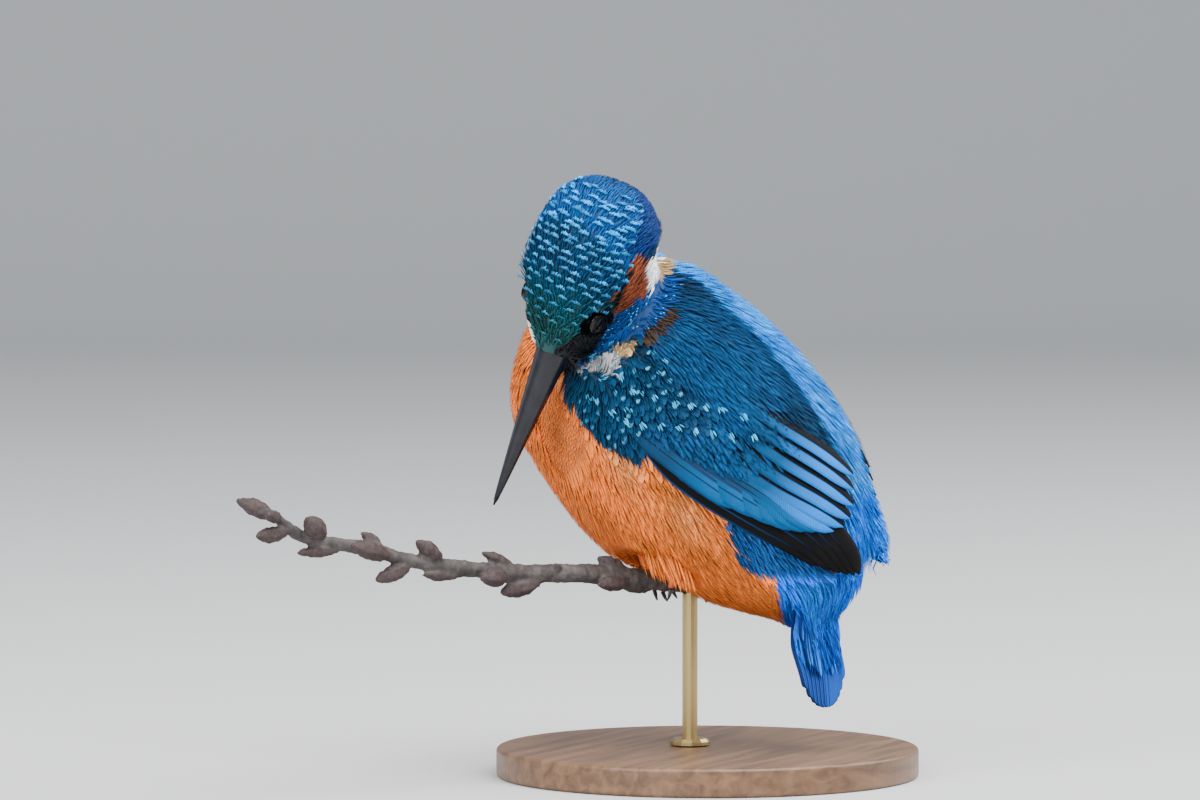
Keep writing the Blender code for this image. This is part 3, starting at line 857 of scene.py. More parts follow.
def blade(cuts, widths, sides):
    """A closed blade from shares of length and width: rows of across, along and height, and triangles."""
    shape = bmesh.new()
    bmesh.ops.create_cone(
        shape, cap_ends=True, segments=sides, radius1=0.5, radius2=0.0, depth=1.0, matrix=UPRIGHT_CONE
    )
    bmesh.ops.remove_doubles(shape, verts=shape.verts, dist=1e-5)
    cut_across(shape, cuts[1:-1])
    quarter = Matrix.Rotation(math.radians(90), 3, "Z")
    bmesh.ops.rotate(shape, verts=shape.verts, cent=(0, 0, 0), matrix=quarter)
    bmesh.ops.triangulate(shape, faces=shape.faces)
    bmesh.ops.recalc_face_normals(shape, faces=shape.faces)
    rows, rings = [], []
    for vertex in shape.verts:
        v = vertex.co.z
        ring = min(range(len(cuts)), key=lambda number: abs(cuts[number] - v))
        around = Vector((vertex.co.x, vertex.co.y)).normalized() if v < 0.9999 else Vector((0, 0))
        rings.append(ring)
        rows.append((around.x * widths[ring] * 0.5, cuts[ring], around.y * widths[ring] ** 0.5))
    triangles = [[v.index for v in face.verts] for face in shape.faces]
    shape.free()
    # the cone stands on its root: its x, y and z become across, upwards and along
    return {"rows": np.array(rows), "rings": np.array(rings), "cuts": cuts, "triangles": np.array(triangles)}


LOCK = blade((0.0, 0.4, 0.75, 1.0), (0.6, 1.0, 0.7, 0.0), 3)
VANE = blade((0.0, 0.3, 0.6, 0.82, 0.95, 1.0), (0.35, 0.85, 1.0, 0.86, 0.5, 0.0), 3)
print("triangles in a lock", len(LOCK["triangles"]), "in a vane", len(VANE["triangles"]))

# %% [markdown]
# ## The lie of the coat
# Feathers point backwards: from the bill over crown and cheek, then away from the neck, then towards the
# tail. Over the feet they turn down, and at the tail they follow its hang.

# %% Lie
NECK_CENTRE = np.array(at(*NECK_MIDDLE))
OVER_FEET = np.array(at(8, -1, 8))
HEAD_WAYS = np.array(HEAD.to_3x3())
DOWN_TO_TWIG = np.array((0.25, -0.2, -1.1))
DOWN_TAIL = np.array((0.0, 0.13, -0.99))


def ease(value, start, end):
    """Rises smoothly from 0 to 1 between start and end."""
    share = np.clip((value - start) / (end - start), 0, 1)
    return share * share * (3 - 2 * share)


def unit(rows):
    return rows / np.maximum(np.linalg.norm(rows, axis=-1, keepdims=True), 1e-9)


def lie(points):
    """The direction in which the plumage points, at each point, before it is laid on the skin."""
    x, y, z = to_head(points).T
    off = np.hypot(np.hypot(y, z - HEAD_AXIS), np.maximum(-14 - x, 0))
    drop = 1.5 * ease(-x, 4, 16)
    on_head = -HEAD_WAYS[:, 0] - drop[:, None] * HEAD_WAYS[:, 2]
    from_neck = points - NECK_CENTRE
    far = ease(np.linalg.norm(from_neck, axis=1) / MM, 12, 34)[:, None]
    on_body = unit(TAILWARD * far + unit(from_neck) * (1 - far))
    share = np.maximum(ease(off, 12.5, 16), ease(x, 18, 23))[:, None]
    by_feet = np.exp(-((np.linalg.norm(points - OVER_FEET, axis=1) / (11 * MM)) ** 2))[:, None]
    on_body = on_body + by_feet * DOWN_TO_TWIG
    level = (points[:, 2] - GRIP.z) / MM
    by_tail = (ease(-level, -5, 3) * ease(points[:, 1] / MM, 16, 22))[:, None]
    on_body = on_body * (1 - by_tail) + by_tail * DOWN_TAIL
    return unit(unit(on_head) * (1 - share) + on_body * share)


print("lie at the top of the back", lie(np.array([body_point(3.0, 0.0)])).round(2).tolist())

# %% [markdown]
# ## Walking over the skin
# Each feather is laid by walking over the skin from its root in the direction of the lie, one step for
# each cut of the blade, so it bends with the body and never stands in the air or sinks in.

# %% Walk
skin_tree = BVHTree.FromPolygons(
    [v.co[:] for v in skin_mesh.vertices], [p.vertices[:] for p in skin_mesh.polygons]
)
out_of_skin = np.array([p.normal for p in skin_mesh.polygons])
vertex_out = np.array([v.normal for v in skin_mesh.vertices])
corner_rows = [p.vertices[:] for p in skin_mesh.polygons]
smooth_out = unit(np.array([vertex_out[list(row)].mean(axis=0) for row in corner_rows]))


def onto_skin(points):
    """The nearest places on the skin, with the outward directions and faces there."""
    found = [skin_tree.find_nearest(point) for point in points.tolist()]
    faces = np.array([item[2] for item in found])
    return np.array([item[0] for item in found]), smooth_out[faces], faces


def along_skin(points, out):
    """The lie at each point, level with the skin."""
    way = lie(points)
    return unit(way - out * (way * out).sum(axis=1, keepdims=True))


def walk(roots, faces, lengths, turns, cuts):
    """The middle line of each feather: its points on the skin at the cuts, and the way out at each."""
    place, out = roots, smooth_out[faces]
    points, outs = [place], [out]
    for start, end in zip(cuts, cuts[1:]):
        way = along_skin(place, out)
        side = np.cross(out, way)
        way = way * np.cos(turns)[:, None] + side * np.sin(turns)[:, None]
        place, out = onto_skin(place + way * (lengths * (end - start))[:, None])[:2]
        points.append(place)
        outs.append(out)
    return np.stack(points, 1), np.stack(outs, 1)


print("skin ready to walk on,", len(corner_rows), "faces")

# %% [markdown]
# ## Roots
# Feathers grow at even distances, never two from one spot. Many places are tried at random, and each is
# kept only if no other root stands nearer than the spacing. A grid of small cells makes that test quick.

# %% Roots
corners = np.array([row if len(row) == 4 else row + row[-1:] for row in corner_rows])
corner_points = vertices[corners]
face_area = np.array([p.area for p in skin_mesh.polygons])
TRIES = 2.2  # places tried for each one that there is room for
# the small cells round one that are near enough to hold a root within the spacing
AROUND = [(i, j, k) for i in (-2, -1, 0, 1, 2) for j in (-2, -1, 0, 1, 2) for k in (-2, -1, 0, 1, 2)]
AROUND = [cell for cell in AROUND if sum(max(abs(c) - 1, 0) ** 2 for c in cell) < 3]


def random_places(faces, draw):
    """One random place on each of these faces."""
    a, b = draw.random((2, len(faces), 1))
    quad = corner_points[faces]
    return (quad[:, 0] * (1 - a) + quad[:, 1] * a) * (1 - b) + (quad[:, 3] * (1 - a) + quad[:, 2] * a) * b


def scatter(faces, spacing, seed):
    """Roots over these faces of the skin, none nearer to another than the spacing in millimetres."""
    draw = np.random.default_rng(seed)
    tries = max(1, int(math.ceil(face_area[faces].mean() / (spacing * MM) ** 2 * TRIES)))
    chosen = np.repeat(faces, tries)
    draw.shuffle(chosen)
    points = random_places(chosen, draw)
    rows = points.tolist()
    limit = (spacing * MM) ** 2
    taken, kept = {}, []
    for number, (i, j, k) in enumerate(np.floor(points / (spacing * MM / math.sqrt(3))).astype(int).tolist()):
        if (i, j, k) in taken:
            continue
        x, y, z = rows[number]
        for di, dj, dk in AROUND:
            other = taken.get((i + di, j + dj, k + dk))
            if other and (other[0] - x) ** 2 + (other[1] - y) ** 2 + (other[2] - z) ** 2 < limit:
                break
        else:
            taken[(i, j, k)] = rows[number]
            kept.append(number)
    return points[kept], chosen[kept]


face_kind = kinds_at(centres)
head_x, head_off = places_on_head(centres)[0], places_on_head(centres)[3]


def faces_of(*names):
    """The faces of the skin that bear one of these markings."""
    return np.flatnonzero(is_kind(face_kind, *names))


print("area of skin in square millimetres", round(float(face_area.sum()) / MM**2))

# %% [markdown]
# ## A mesh from rows of numbers
# A coat is thousands of copies of one blade. Joining copies one by one would take minutes, so the points
# of all of them are worked out together and put into one mesh, with their maps and colours.


# %% Mesh from rows
def mesh_from(name, points, triangles, maps, paints):
    """A mesh from arrays: its points, triangles, maps and colours, with one row for each point."""
    mesh = bpy.data.meshes.new(name)
    mesh.vertices.add(len(points))
    mesh.vertices.foreach_set("co", points.astype(np.float32).ravel())
    mesh.loops.add(triangles.size)
    mesh.loops.foreach_set("vertex_index", triangles.astype(np.int32).ravel())
    mesh.polygons.add(len(triangles))
    mesh.polygons.foreach_set("loop_start", np.arange(0, triangles.size, 3, dtype=np.int32))
    mesh.update(calc_edges=True)
    for map_name, per_point in maps.items():
        layer = mesh.uv_layers.new(name=map_name)
        layer.data.foreach_set("uv", per_point[triangles.ravel()].astype(np.float32).ravel())
    for paint_name, per_point in paints.items():
        layer = mesh.color_attributes.new(paint_name, "FLOAT_COLOR", "POINT")
        layer.data.foreach_set("color", per_point.astype(np.float32).ravel())
    mesh.shade_smooth()
    return mesh


print("mesh maker ready")

# %% [markdown]
# ## Setting feathers on their middle lines
# A feather is set on each middle line: pressed flat at the root, lifted towards the tip, and turned to
# stand square on the skin. Tips may draw together into locks, as damp feathers do. None may lie over an
# eye.

# %% Middle lines and blades
EYE_CLEAR = 1.85  # how far feathers stay from the middle of an eye, in millimetres


def clear_of_eyes(points, lengths):
    """Which feathers may stay by the eyes, and their lengths, so that none lies over an eye."""
    x, y, z = to_head(points).T
    above = z > EYE_PLACE[2]
    gap = np.hypot(x - EYE_PLACE[0], np.where(above, 1.25, 1.0) * (z - EYE_PLACE[2]))
    beside = np.abs(y) > 6.0
    keep = ~(beside & (gap < EYE_CLEAR))
    before = beside & (x > EYE_PLACE[0]) & (np.abs(z - EYE_PLACE[2]) < EYE_CLEAR)
    room = np.where(before, np.maximum(gap - EYE_CLEAR, 0.35), 99.0)
    return keep, np.minimum(lengths, room * MM * 1.1)


def hang_free(roots, outs, length, way, cuts, draw):
    """The middle lines of straight feathers that leave the skin this way."""
    way = unit(np.array(way) + draw.normal(0, 0.08, (len(roots), 3)))
    steps = np.array(cuts)[None, :, None] * length[:, None, None]
    level_out = unit(outs[:, 0] * (1, 1, 0.2))
    return roots[:, None] + way[:, None] * steps, np.repeat(level_out[:, None], len(cuts), axis=1)


def draw_together(points, roots, cuts, share, apart):
    """Draws feathers together towards their tips, in locks that stand so far apart."""
    wander = 0.35 * unsteady(roots, 21, size=apart * 2.2)[:, None]
    cell = np.floor(roots / (apart * MM) + wander).astype(int)
    group = np.unique(cell, axis=0, return_inverse=True)[1].ravel()
    size = np.bincount(group).astype(float)
    for ring, cut in enumerate(cuts):
        middle = np.stack([np.bincount(group, points[:, ring, axis]) / size for axis in range(3)], 1)
        points[:, ring] += (middle[group] - points[:, ring]) * share * cut**1.5


def set_blades(shape, middle, outs, width, height):
    """The points of a blade set on each middle line."""
    ahead = unit(np.gradient(middle, axis=1))
    side = unit(np.cross(ahead, outs))
    up = np.cross(side, ahead)
    rows, rings = shape["rows"], shape["rings"]
    return (
        middle[:, rings]
        + side[:, rings] * (rows[:, 0] * width[:, None])[..., None]
        + up[:, rings] * (rows[:, 2] * height[:, None])[..., None]
    )


print("feathers keep", EYE_CLEAR, "mm from the middle of an eye")

# %% [markdown]
# ## Laying a coat
# Every coat on the bird is laid in the same way, so one function does it and the cells below only say where,
# how long and in what colour. No two feathers are quite alike in turn, brightness or hue. A large coat is
# cut into several pieces along the bird, because very large meshes are slow to handle.

# %% Laying a coat
TUFT_PATCH = 0.003  # size of a tuft's patch on the bake's map
COAT_LIMIT = 190000  # triangles in one piece of coat
SUNK_ROOT = 0.14  # how deep a feather's root stands in the skin, in millimetres
coat_pieces = []


def lay(name, material, slot, shape, roots, faces, sizes, colour, turns=7.0, unlike=0.12, root_shade=0.5,
        lock=None, free=None, flat=False, facets=False, spots=None):
    """Lays one feather at each root and joins them in pieces of coat.

    Sizes are length, width, height and lift in millimetres, each one number or one for each feather. Turns
    is their spread in degrees. Lock says how far tips draw together and how far apart the locks are, free
    the way in which feathers hang from the skin, and spots each feather's mark as a colour with its strength.
    """
    draw = np.random.default_rng(len(name) * 101 + len(roots))
    count, cuts, rows = len(roots), shape["cuts"], shape["rows"]
    length, width, height, lift = (np.broadcast_to(np.asarray(size, float), count) * MM for size in sizes)
    keep, length = clear_of_eyes(roots, length)
    points, outs = walk(roots, faces, length, np.radians(draw.normal(0, turns, count)), cuts)
    if free:
        points, outs = hang_free(roots, outs, length, free, cuts, draw)
    if lock:
        draw_together(points, roots, cuts, *lock)
    rise = np.array(cuts)
    if flat:
        rise = np.ones_like(rise) * lift[:, None]
    else:
        rise = -SUNK_ROOT * MM * (1 - rise) + lift[:, None] * (0.25 * rise + 0.75 * rise**1.6)
    placed = set_blades(shape, points + outs * rise[..., None], outs, width, height)
    bright = draw.normal(1, unlike, (count, 1, 1)).clip(0.45, 1.7)
    hue = draw.normal(1, unlike * 0.35, (count, 1, 3))
    shade = (root_shade + (1 - root_shade) * ease(rows[:, 1], 0.1, 0.75))[:, None]
    tints = np.ones((count, len(rows), 4))
    tints[..., :3] = colour[:, None, :] * bright * hue * shade[None]
    spots = np.zeros((count, 4)) if spots is None else spots
    spots = np.repeat(spots[:, None, :], len(rows), axis=1)
    on_patch = np.stack((rows[:, 0] * 0.5, rows[:, 1] - 0.5), 1) * TUFT_PATCH
    patch = skin_map[first_loop[faces]][:, None] + on_patch
    vane = np.broadcast_to(np.stack((rows[:, 0] + 0.5, rows[:, 1]), 1), patch.shape)
    triangles = shape["triangles"]
    order = np.flatnonzero(keep)
    parts = math.ceil(len(order) * len(triangles) / COAT_LIMIT)
    if parts > 1:
        order = order[np.argsort(-(roots[order] @ TAILWARD), kind="stable")[::-1]]
    for number, chosen in enumerate(np.array_split(order, parts)):
        first_points = np.arange(len(chosen))[:, None, None] * len(rows)
        mesh = mesh_from(
            name,
            placed[chosen].reshape(-1, 3),
            (triangles[None] + first_points).reshape(-1, 3),
            {BAKE_MAP: patch[chosen].reshape(-1, 2), "vane": vane[chosen].reshape(-1, 2)},
            {"tint": tints[chosen].reshape(-1, 4), "spot": spots[chosen].reshape(-1, 4)},
        )
        if facets:
            mesh.shade_flat()
        piece_name = name if parts == 1 else f"{name}_{number + 1}"
        coat_pieces.append(add(piece_name, mesh, material, slot))
        print(piece_name, len(chosen), "feathers", len(mesh.polygons), "triangles")


def colour_ahead(roots, faces, length, share=0.6):
    """The colour of the plumage where the open part of each feather will lie."""
    way = along_skin(roots, smooth_out[faces])
    return plumage(roots + way * (np.asarray(length, float) * MM * share).reshape(-1, 1))


print("ready to lay a coat")

# %% [markdown]
# ## The finish of the plumage
# A feather's colour comes with its mesh: `tint` for the feather, `spot` for the pale mark near its tip.
# The finish adds what is finer than the mesh: barbs that run slantwise from the shaft, and a fine grain.


# %% Plumage finish
def slanting_barbs(tree, u, v, shaft, slant, waves):
    """Fine waves that run slantwise from the shaft, and how far each point is from the shaft."""
    off_shaft = maths(tree, "ABSOLUTE", maths(tree, "SUBTRACT", u, shaft))
    along = maths(tree, "SUBTRACT", v, maths(tree, "MULTIPLY", off_shaft, slant))
    return off_shaft, maths(tree, "SINE", maths(tree, "MULTIPLY", along, waves))


def vane_place(tree):
    """Where a point is on its own feather: across and along."""
    parts = node(tree, "SeparateXYZ", {0: node(tree, "UVMap", uv_map="vane").outputs["UV"]})
    return parts.outputs["X"], parts.outputs["Y"]


def tip_mark(tree, off_shaft, v, fine):
    """A round mark near the tip of a feather, with an uneven edge."""
    across = maths(tree, "POWER", maths(tree, "DIVIDE", off_shaft, 0.34), 2.0)
    from_middle = maths(tree, "DIVIDE", maths(tree, "SUBTRACT", v, 0.83), 0.085)
    along = maths(tree, "POWER", maths(tree, "ABSOLUTE", from_middle), 2.0)
    ragged = maths(tree, "ADD", maths(tree, "ADD", across, along), spread(tree, fine, 0.3, 0.7, -0.5, 0.5))
    return spread(tree, ragged, 0.7, 1.25, 1.0, 0.0)


def plumage_finish(name, waves, slant):
    """The finish of small feathers: their own colour, a mark by the tip, barbs and grain."""
    material, tree, shader = finish(name, (0.2, 0.2, 0.2), 0.55)
    tint = node(tree, "Attribute", attribute_name="tint").outputs["Color"]
    spot = node(tree, "Attribute", attribute_name="spot")
    u, v = vane_place(tree)
    off_shaft, wave = slanting_barbs(tree, u, v, 0.5, slant, waves)
    fine = noise(tree, object_place(tree), 2600.0, 2.0)
    barb, grain = spread(tree, wave, -1.0, 1.0, 0.84, 1.08), spread(tree, fine, 0.3, 0.7, 0.9, 1.08)
    shade = maths(tree, "MULTIPLY", barb, grain)
    mark = maths(tree, "MULTIPLY", tip_mark(tree, off_shaft, v, fine), spot.outputs["Alpha"])
    shaded = mix(tree, 1.0, mix(tree, mark, tint, spot.outputs["Color"]), shade, "MULTIPLY")
    tree.links.new(shaded, shader.inputs["Base Color"])
    shader.inputs["Specular IOR Level"].default_value = 0.1
    bump(tree, shader, shade, 0.2, 0.00005)
    return material


def skin_finish():
    """The skin's own finish: the same markings, dull and dark like the bases of the feathers."""
    material, tree, shader = finish("skin", (0.1, 0.1, 0.1), 0.8)
    tint = node(tree, "Attribute", attribute_name="tint").outputs["Color"]
    grain = spread(tree, noise(tree, object_place(tree), 1500.0, 3.0), 0.0, 1.0, 0.6, 1.2)
    tree.links.new(mix(tree, 1.0, tint, grain, "MULTIPLY"), shader.inputs["Base Color"])
    return material


soft = plumage_finish("soft_plumage", 40.0, 0.3)
vaned = plumage_finish("vaned_plumage", 60.0, 0.6)
add("skin", skin_mesh, skin_finish(), "blue_green_feather", *FLESH)
print("the skin takes the place of", len(FLESH), "solids")

# %% [markdown]
# ## Breast, belly and flanks
# The orange feathers have long loose barbs, so the belly looks like fine hair that lies in wet-looking
# locks. Narrow blades stand for the barbs. They are many, thin, and drawn together a little at their
# tips.

# %% Orange underparts
on_skull = np.flatnonzero((head_off < 12.5) & (head_x > -17))
belly_faces = np.setdiff1d(faces_of("orange", "vent"), on_skull)
roots, faces = scatter(belly_faces, 0.55, 11)
long = np.interp(places_on_body(roots)[0], (0.5, 2.0, 4.0, 6.5), (3.6, 5.0, 6.2, 6.5))
from_feet = np.linalg.norm(roots - np.array(at(2, 0, 6)), axis=1) / (9 * MM)
long += 3.5 * np.exp(-(from_feet**2))
tone = colour_ahead(roots, faces, long)[0]
lay("belly_feather", soft, "orange_feather", LOCK, roots, faces, (long, 0.65, 0.08, 1.25), tone,
    turns=8, lock=(0.3, 2.2), unlike=0.09, root_shade=0.8)

# %% [markdown]
# Over the feet the belly's longest feathers hang free, down to the twig. They are laid as straight locks
# that leave the skin, because there is no skin under them to follow.

# %% Feathers that hang over the feet
local = from_grip(centres)
by_feet = np.linalg.norm((local - (7.0, 1.0, 7.0)) / (1.0, 1.0, 0.8), axis=1) < 9.5
by_feet &= (out_of_skin[:, 2] < 0.25) & (local[:, 2] > 3.0) & (local[:, 0] > 2.0)
roots, faces = scatter(np.flatnonzero(by_feet), 0.62, 19)
tone = colour_ahead(roots, faces, 3.0)[0]
to_twig = (roots[:, 2] - GRIP.z) / MM + 1.5 + 0.3 * roots[:, 1] / MM
long = np.clip(to_twig, 2.5, 10.0) * np.random.default_rng(23).uniform(0.7, 1.15, len(roots))
lay("hanging_feather", soft, "orange_feather", LOCK, roots, faces, (long, 0.55, 0.08, 0.6), tone,
    turns=9, unlike=0.09, root_shade=0.8, free=(0.3, 0.55, -0.9), lock=(0.4, 1.6))

# %% [markdown]
# ## Back and rump
# A bright blue stripe of loose feathers runs down the middle of the back, over the rump and onto the
# tail. Towards the tail the feathers differ more in length and shade, so that the rump hangs in ragged
# strands.

# %% Bright back
low_on_tail = np.flatnonzero(from_grip(centres)[:, 2] < -9.0)
roots, faces = scatter(np.setdiff1d(faces_of("azure", "rump", "tail"), low_on_tail), 0.62, 12)
place, angle = places_on_body(roots)
long = np.interp(place, (1.5, 3.0, 6.5), (4.5, 6.5, 8.0))
by_tail = ease(-(roots[:, 2] - GRIP.z) / MM, -4, 4) * ease(roots[:, 1] / MM, 18, 24)
long += np.random.default_rng(28).uniform(0.0, 4.0, len(roots)) * by_tail
over_wing = np.where(angle < -4, np.interp(place, (3.0, 4.5, 6.0, 6.6), (0.1, 0.4, 0.6, 0.7)), 0.0)
lift = 1.5 - 0.7 * by_tail + over_wing
tone, kinds = colour_ahead(roots, faces, long)
off_stripe = ~is_kind(kinds, "azure", "rump", "tail")
tone[off_stripe] = plumage(roots)[0][off_stripe]
tone *= 1 + (np.random.default_rng(29).choice((-0.75, -0.3, 0.1, 0.2), len(roots)) * by_tail)[:, None]
lay("back_feather", soft, "azure_feather", LOCK, roots, faces, (long, 0.6 + 0.3 * by_tail, 0.12, lift), tone,
    turns=6, lock=(0.4, 2.6), unlike=0.15, root_shade=0.5)

# %% [markdown]
# ## Mantle and wing coverts
# The shoulders and the small coverts are dark green-blue vanes with round tips, set like roof tiles. They
# end where the long feathers of the wing come out from under them.

# %% Mantle feathers
# angle on the trunk, and the place down to which small feathers cover the long ones there
COVERED = (
    (0, 5.7), (14, 5.5), (22, 5.3), (33, 5.05), (42, 4.85), (48, 4.5), (58, 4.34), (68, 4.25), (78, 4.09),
    (84, 3.83), (89, 3.7), (92, 4.15), (99, 4.15),
)


def above_long_feathers(roots, length, beyond=0.0):
    """Which feathers of this length end above the open wing feathers, or stand below the wing."""
    place, angle = places_on_body(roots)
    around = np.abs(angle)
    limit = column(COVERED, 1, around) + beyond * (around > 56) * (around < 84)
    below_wing = (around > column(WING, 2, place) - 1) & (place > 4.4)
    return (place + length * 0.8 / TRUNK_STEP < limit) | below_wing


roots, faces = scatter(faces_of("wing"), 1.4, 13)
place = places_on_body(roots)[0]
long = np.interp(place, (1.0, 2.5, 4.0, 5.0), (3.4, 4.0, 6.5, 7.0))
keep = above_long_feathers(roots, long)
roots, faces, place, long = roots[keep], faces[keep], place[keep], long[keep]
tone, kinds = colour_ahead(roots, faces, long)
draw = np.random.default_rng(5)
spots = np.zeros((len(roots), 4))
spots[:, :3] = (0.10, 0.42, 0.62)
small = is_kind(kinds, "wing") & (place < 3.3)
spots[small, 3] = draw.uniform(0.2, 0.8, small.sum()) * (draw.random(small.sum()) < 0.35)
lay("mantle_feather", vaned, "blue_green_feather", VANE, roots, faces, (long, long * 0.42, 0.07, 1.15), tone,
    turns=7, unlike=0.06, root_shade=0.7, spots=spots, facets=True)

# %% [markdown]
# The greater coverts are one row of longer feathers that lies over the roots of the wing's long feathers.

# %% Greater coverts
roots, faces = scatter(faces_of("wing"), 1.1, 24)
place, angle = places_on_body(roots)
around = np.abs(angle)
limit = column(COVERED, 1, around)
row = (place > limit - 0.7) & (place < limit - 0.12) & (around > 48) & (around < 83) & (place < 4.3)
roots, faces = roots[row], faces[row]
bright = np.random.default_rng(25).uniform(0.8, 1.2, (len(roots), 1))
tone = np.tile((0.002, 0.06, 0.18), (len(roots), 1)) * bright
lay("greater_covert", vaned, "blue_green_feather", VANE, roots, faces, (9.5, 1.3, 0.05, 1.5), tone,
    turns=3, unlike=0.05, root_shade=0.8)

# %% [markdown]
# Narrow streaks over all of them are the loose barbs at the feathers' edges. They break up the hard
# outlines of the vanes, and reach raggedly over the wing's long feathers.

# %% Streaks over the mantle
roots, faces = scatter(faces_of("mantle", "wing", "flank"), 0.56, 14)
long = np.interp(np.abs(places_on_body(roots)[1]), (55, 75), (5.2, 3.6))
keep = above_long_feathers(roots, long, np.random.default_rng(33).uniform(0.0, 0.75, len(roots)))
roots, faces, long = roots[keep], faces[keep], long[keep]
place, angle = places_on_body(roots)
around = np.abs(angle)
tone = colour_ahead(roots, faces, long)[0]
bright = np.random.default_rng(6).uniform(0.85, 1.22, len(roots))
bright *= 1 + 0.9 * ease(place - column(COVERED, 1, around), -0.4, 0.3) * (around > 50)
over_wing = ease(place, 3.6, 4.5) * (1 - ease(around, 48, 60)) * (around > 14)
sizes = (long, 0.62, 0.07, 1.35 + over_wing)
lay("mantle_streak", soft, "blue_green_feather", LOCK, roots, faces, sizes, tone * bright[:, None],
    turns=6, unlike=0.08, root_shade=0.82, lock=(0.2, 2.0))

# %% [markdown]
# ## Crown and nape
# The crown's feathers are short and dark. Above each eye they stand a little higher, as a brow.


# %% Crown
def brow(x, round_it):
    """How much higher the feathers stand over the eyes, in millimetres."""
    over_eye = np.exp(-(((x - 7.5) / 5.5) ** 2))
    return over_eye * ease(round_it, 34, 50) * (1 - ease(round_it, 58, 66))


roots, faces = scatter(faces_of("crown", "nape", "cobalt"), 0.55, 15)
tone = colour_ahead(roots, faces, 2.8)[0]
lift = 0.8 + brow(*places_on_head(roots)[:2])
lay("crown_feather", soft, "blue_green_feather", LOCK, roots, faces, (2.8, 0.62, 0.08, lift), tone,
    turns=7, unlike=0.12, root_shade=0.85, lock=(0.15, 1.6))

# %% [markdown]
# Each of the crown's feathers has a pale blue bar near its tip. The bars stand in rows across the head,
# each row half a step aside from the one before, which gives the barred cap. A bar is nine short barbs
# side by side, and its place is found by looking outwards from the middle of the head.

# %% Bars of the crown
ROW_STEP, BAR_STEP = 7.4, 2.9  # degrees between rows, millimetres between the bars in a row
SKULL_RADIUS = 13.0
SKULL_CENTRE = HEAD @ Vector((-3 * MM, 0, HEAD_AXIS * MM))
FRONT_BAR, TOP_BAR, NAPE_BAR = (0.02, 0.16, 0.19), (0.03, 0.32, 0.70), (0.01, 0.38, 1.0)


def seen_from_skull(polar, around):
    """Where the skin is met, and on which face, looking out from the skull at these angles in degrees."""
    a, b = math.radians(polar), math.radians(around)
    way = HEAD.to_3x3() @ Vector((math.cos(a), math.sin(a) * math.sin(b), math.sin(a) * math.cos(b)))
    met = skin_tree.ray_cast(SKULL_CENTRE, way)
    return met[0], met[2]


def bar_rows(draw):
    """Root, face, length and brightness of each barb of the bars."""
    made = []
    for row, turn in enumerate(np.arange(20.0, 150.0, ROW_STEP)):
        across = max(math.sin(math.radians(turn)) * SKULL_RADIUS, 2.0)
        shrink = np.interp(turn, (20, 50, 80), (0.5, 0.8, 1.0))
        small = 0.45 + 0.55 * shrink
        step = math.degrees(BAR_STEP * small * np.interp(turn, (95, 120), (1.0, 0.7)) / across)
        loose = 0.12 + 0.3 * max(0.0, (turn - 95) / 40)
        for number in range(-int(118 / step), int(118 / step) + 1):
            polar = turn + draw.normal() * ROW_STEP * loose
            middle = (number + 0.5 * (row % 2) + draw.normal() * loose) * step
            glow = draw.uniform(0.55, 1.35)
            for barb in range(-4, 5):
                bend = abs(barb) ** 2 * 0.03 + draw.normal() * 0.25
                offset = math.degrees(barb * 0.25 * shrink / across)
                place, face = seen_from_skull(polar - bend, middle + offset + draw.normal() * 0.2)
                if face is not None:
                    length = (0.8 - 0.06 * abs(barb)) * small * draw.uniform(0.75, 1.25)
                    made.append((*place, face, length, glow * (1.1 - 0.14 * abs(barb))))
    return np.array(made)


bars = bar_rows(np.random.default_rng(7))
x, round_it, q, off, side = places_on_head(bars[:, :3])
bars = bars[(off < 20) & (x < 19) & is_kind(kinds_at(bars[:, :3]), "crown", "nape")]
roots, faces, long, glow = bars[:, :3], bars[:, 3].astype(int), bars[:, 4], bars[:, 5]
x, round_it = places_on_head(roots)[:2]
front, back = ease(x, 2, 15)[:, None], ease(-x, 4, 11)[:, None]
tone = np.array(TOP_BAR) * (1 - front) + np.array(FRONT_BAR) * front
tone = (tone * (1 - back) + np.array(NAPE_BAR) * back) * glow[:, None]
lift = 0.84 + brow(x, round_it)
lay("crown_bar", soft, "azure_feather", LOCK, roots, faces, (long, 0.42, 0.06, lift), tone,
    turns=5, unlike=0.1, root_shade=0.85, flat=True)

# %% [markdown]
# ## Face and throat
# The feathers of the face are the smallest on the bird. They are short and close, so that the borders
# between black lore, rufous ear, white neck patch and blue cheek stay sharp. Some on the cheek have a
# pale tip.

# %% Face
face_faces = faces_of("rufous", "black", "white", "buff", "brown", "malar")
face_faces = np.union1d(face_faces, np.intersect1d(faces_of("orange"), on_skull))
roots, faces = scatter(face_faces, 0.58, 16)
x, round_it, q, off, side = places_on_head(roots)
long = np.interp(x, (-10, 5, 14, 20), (3.2, 2.3, 1.5, 1.0)) * np.interp(q, (12, 18), (1.0, 1.4))
lift = np.interp(x, (8, 20), (0.8, 0.45))
tone, kinds = colour_ahead(roots, faces, long)
spots = np.zeros((len(roots), 4))
spots[:, :3] = (0.12, 0.45, 0.75)
malar = is_kind(kinds, "malar")
spots[malar, 3] = (np.random.default_rng(8).random(malar.sum()) < 0.22) * 0.8
lay("face_feather", soft, "orange_feather", LOCK, roots, faces, (long, 0.6, 0.13, lift), tone,
    turns=7, unlike=0.09, root_shade=0.75, spots=spots)

# %% [markdown]
# ## A long feather
# A long feather of wing or tail is a flat sheet with a shaft. Each one starts as a grid. It is bent along
# a course over the body from its root to its tip, narrowed at both ends, and gets a little thickness at
# the end.

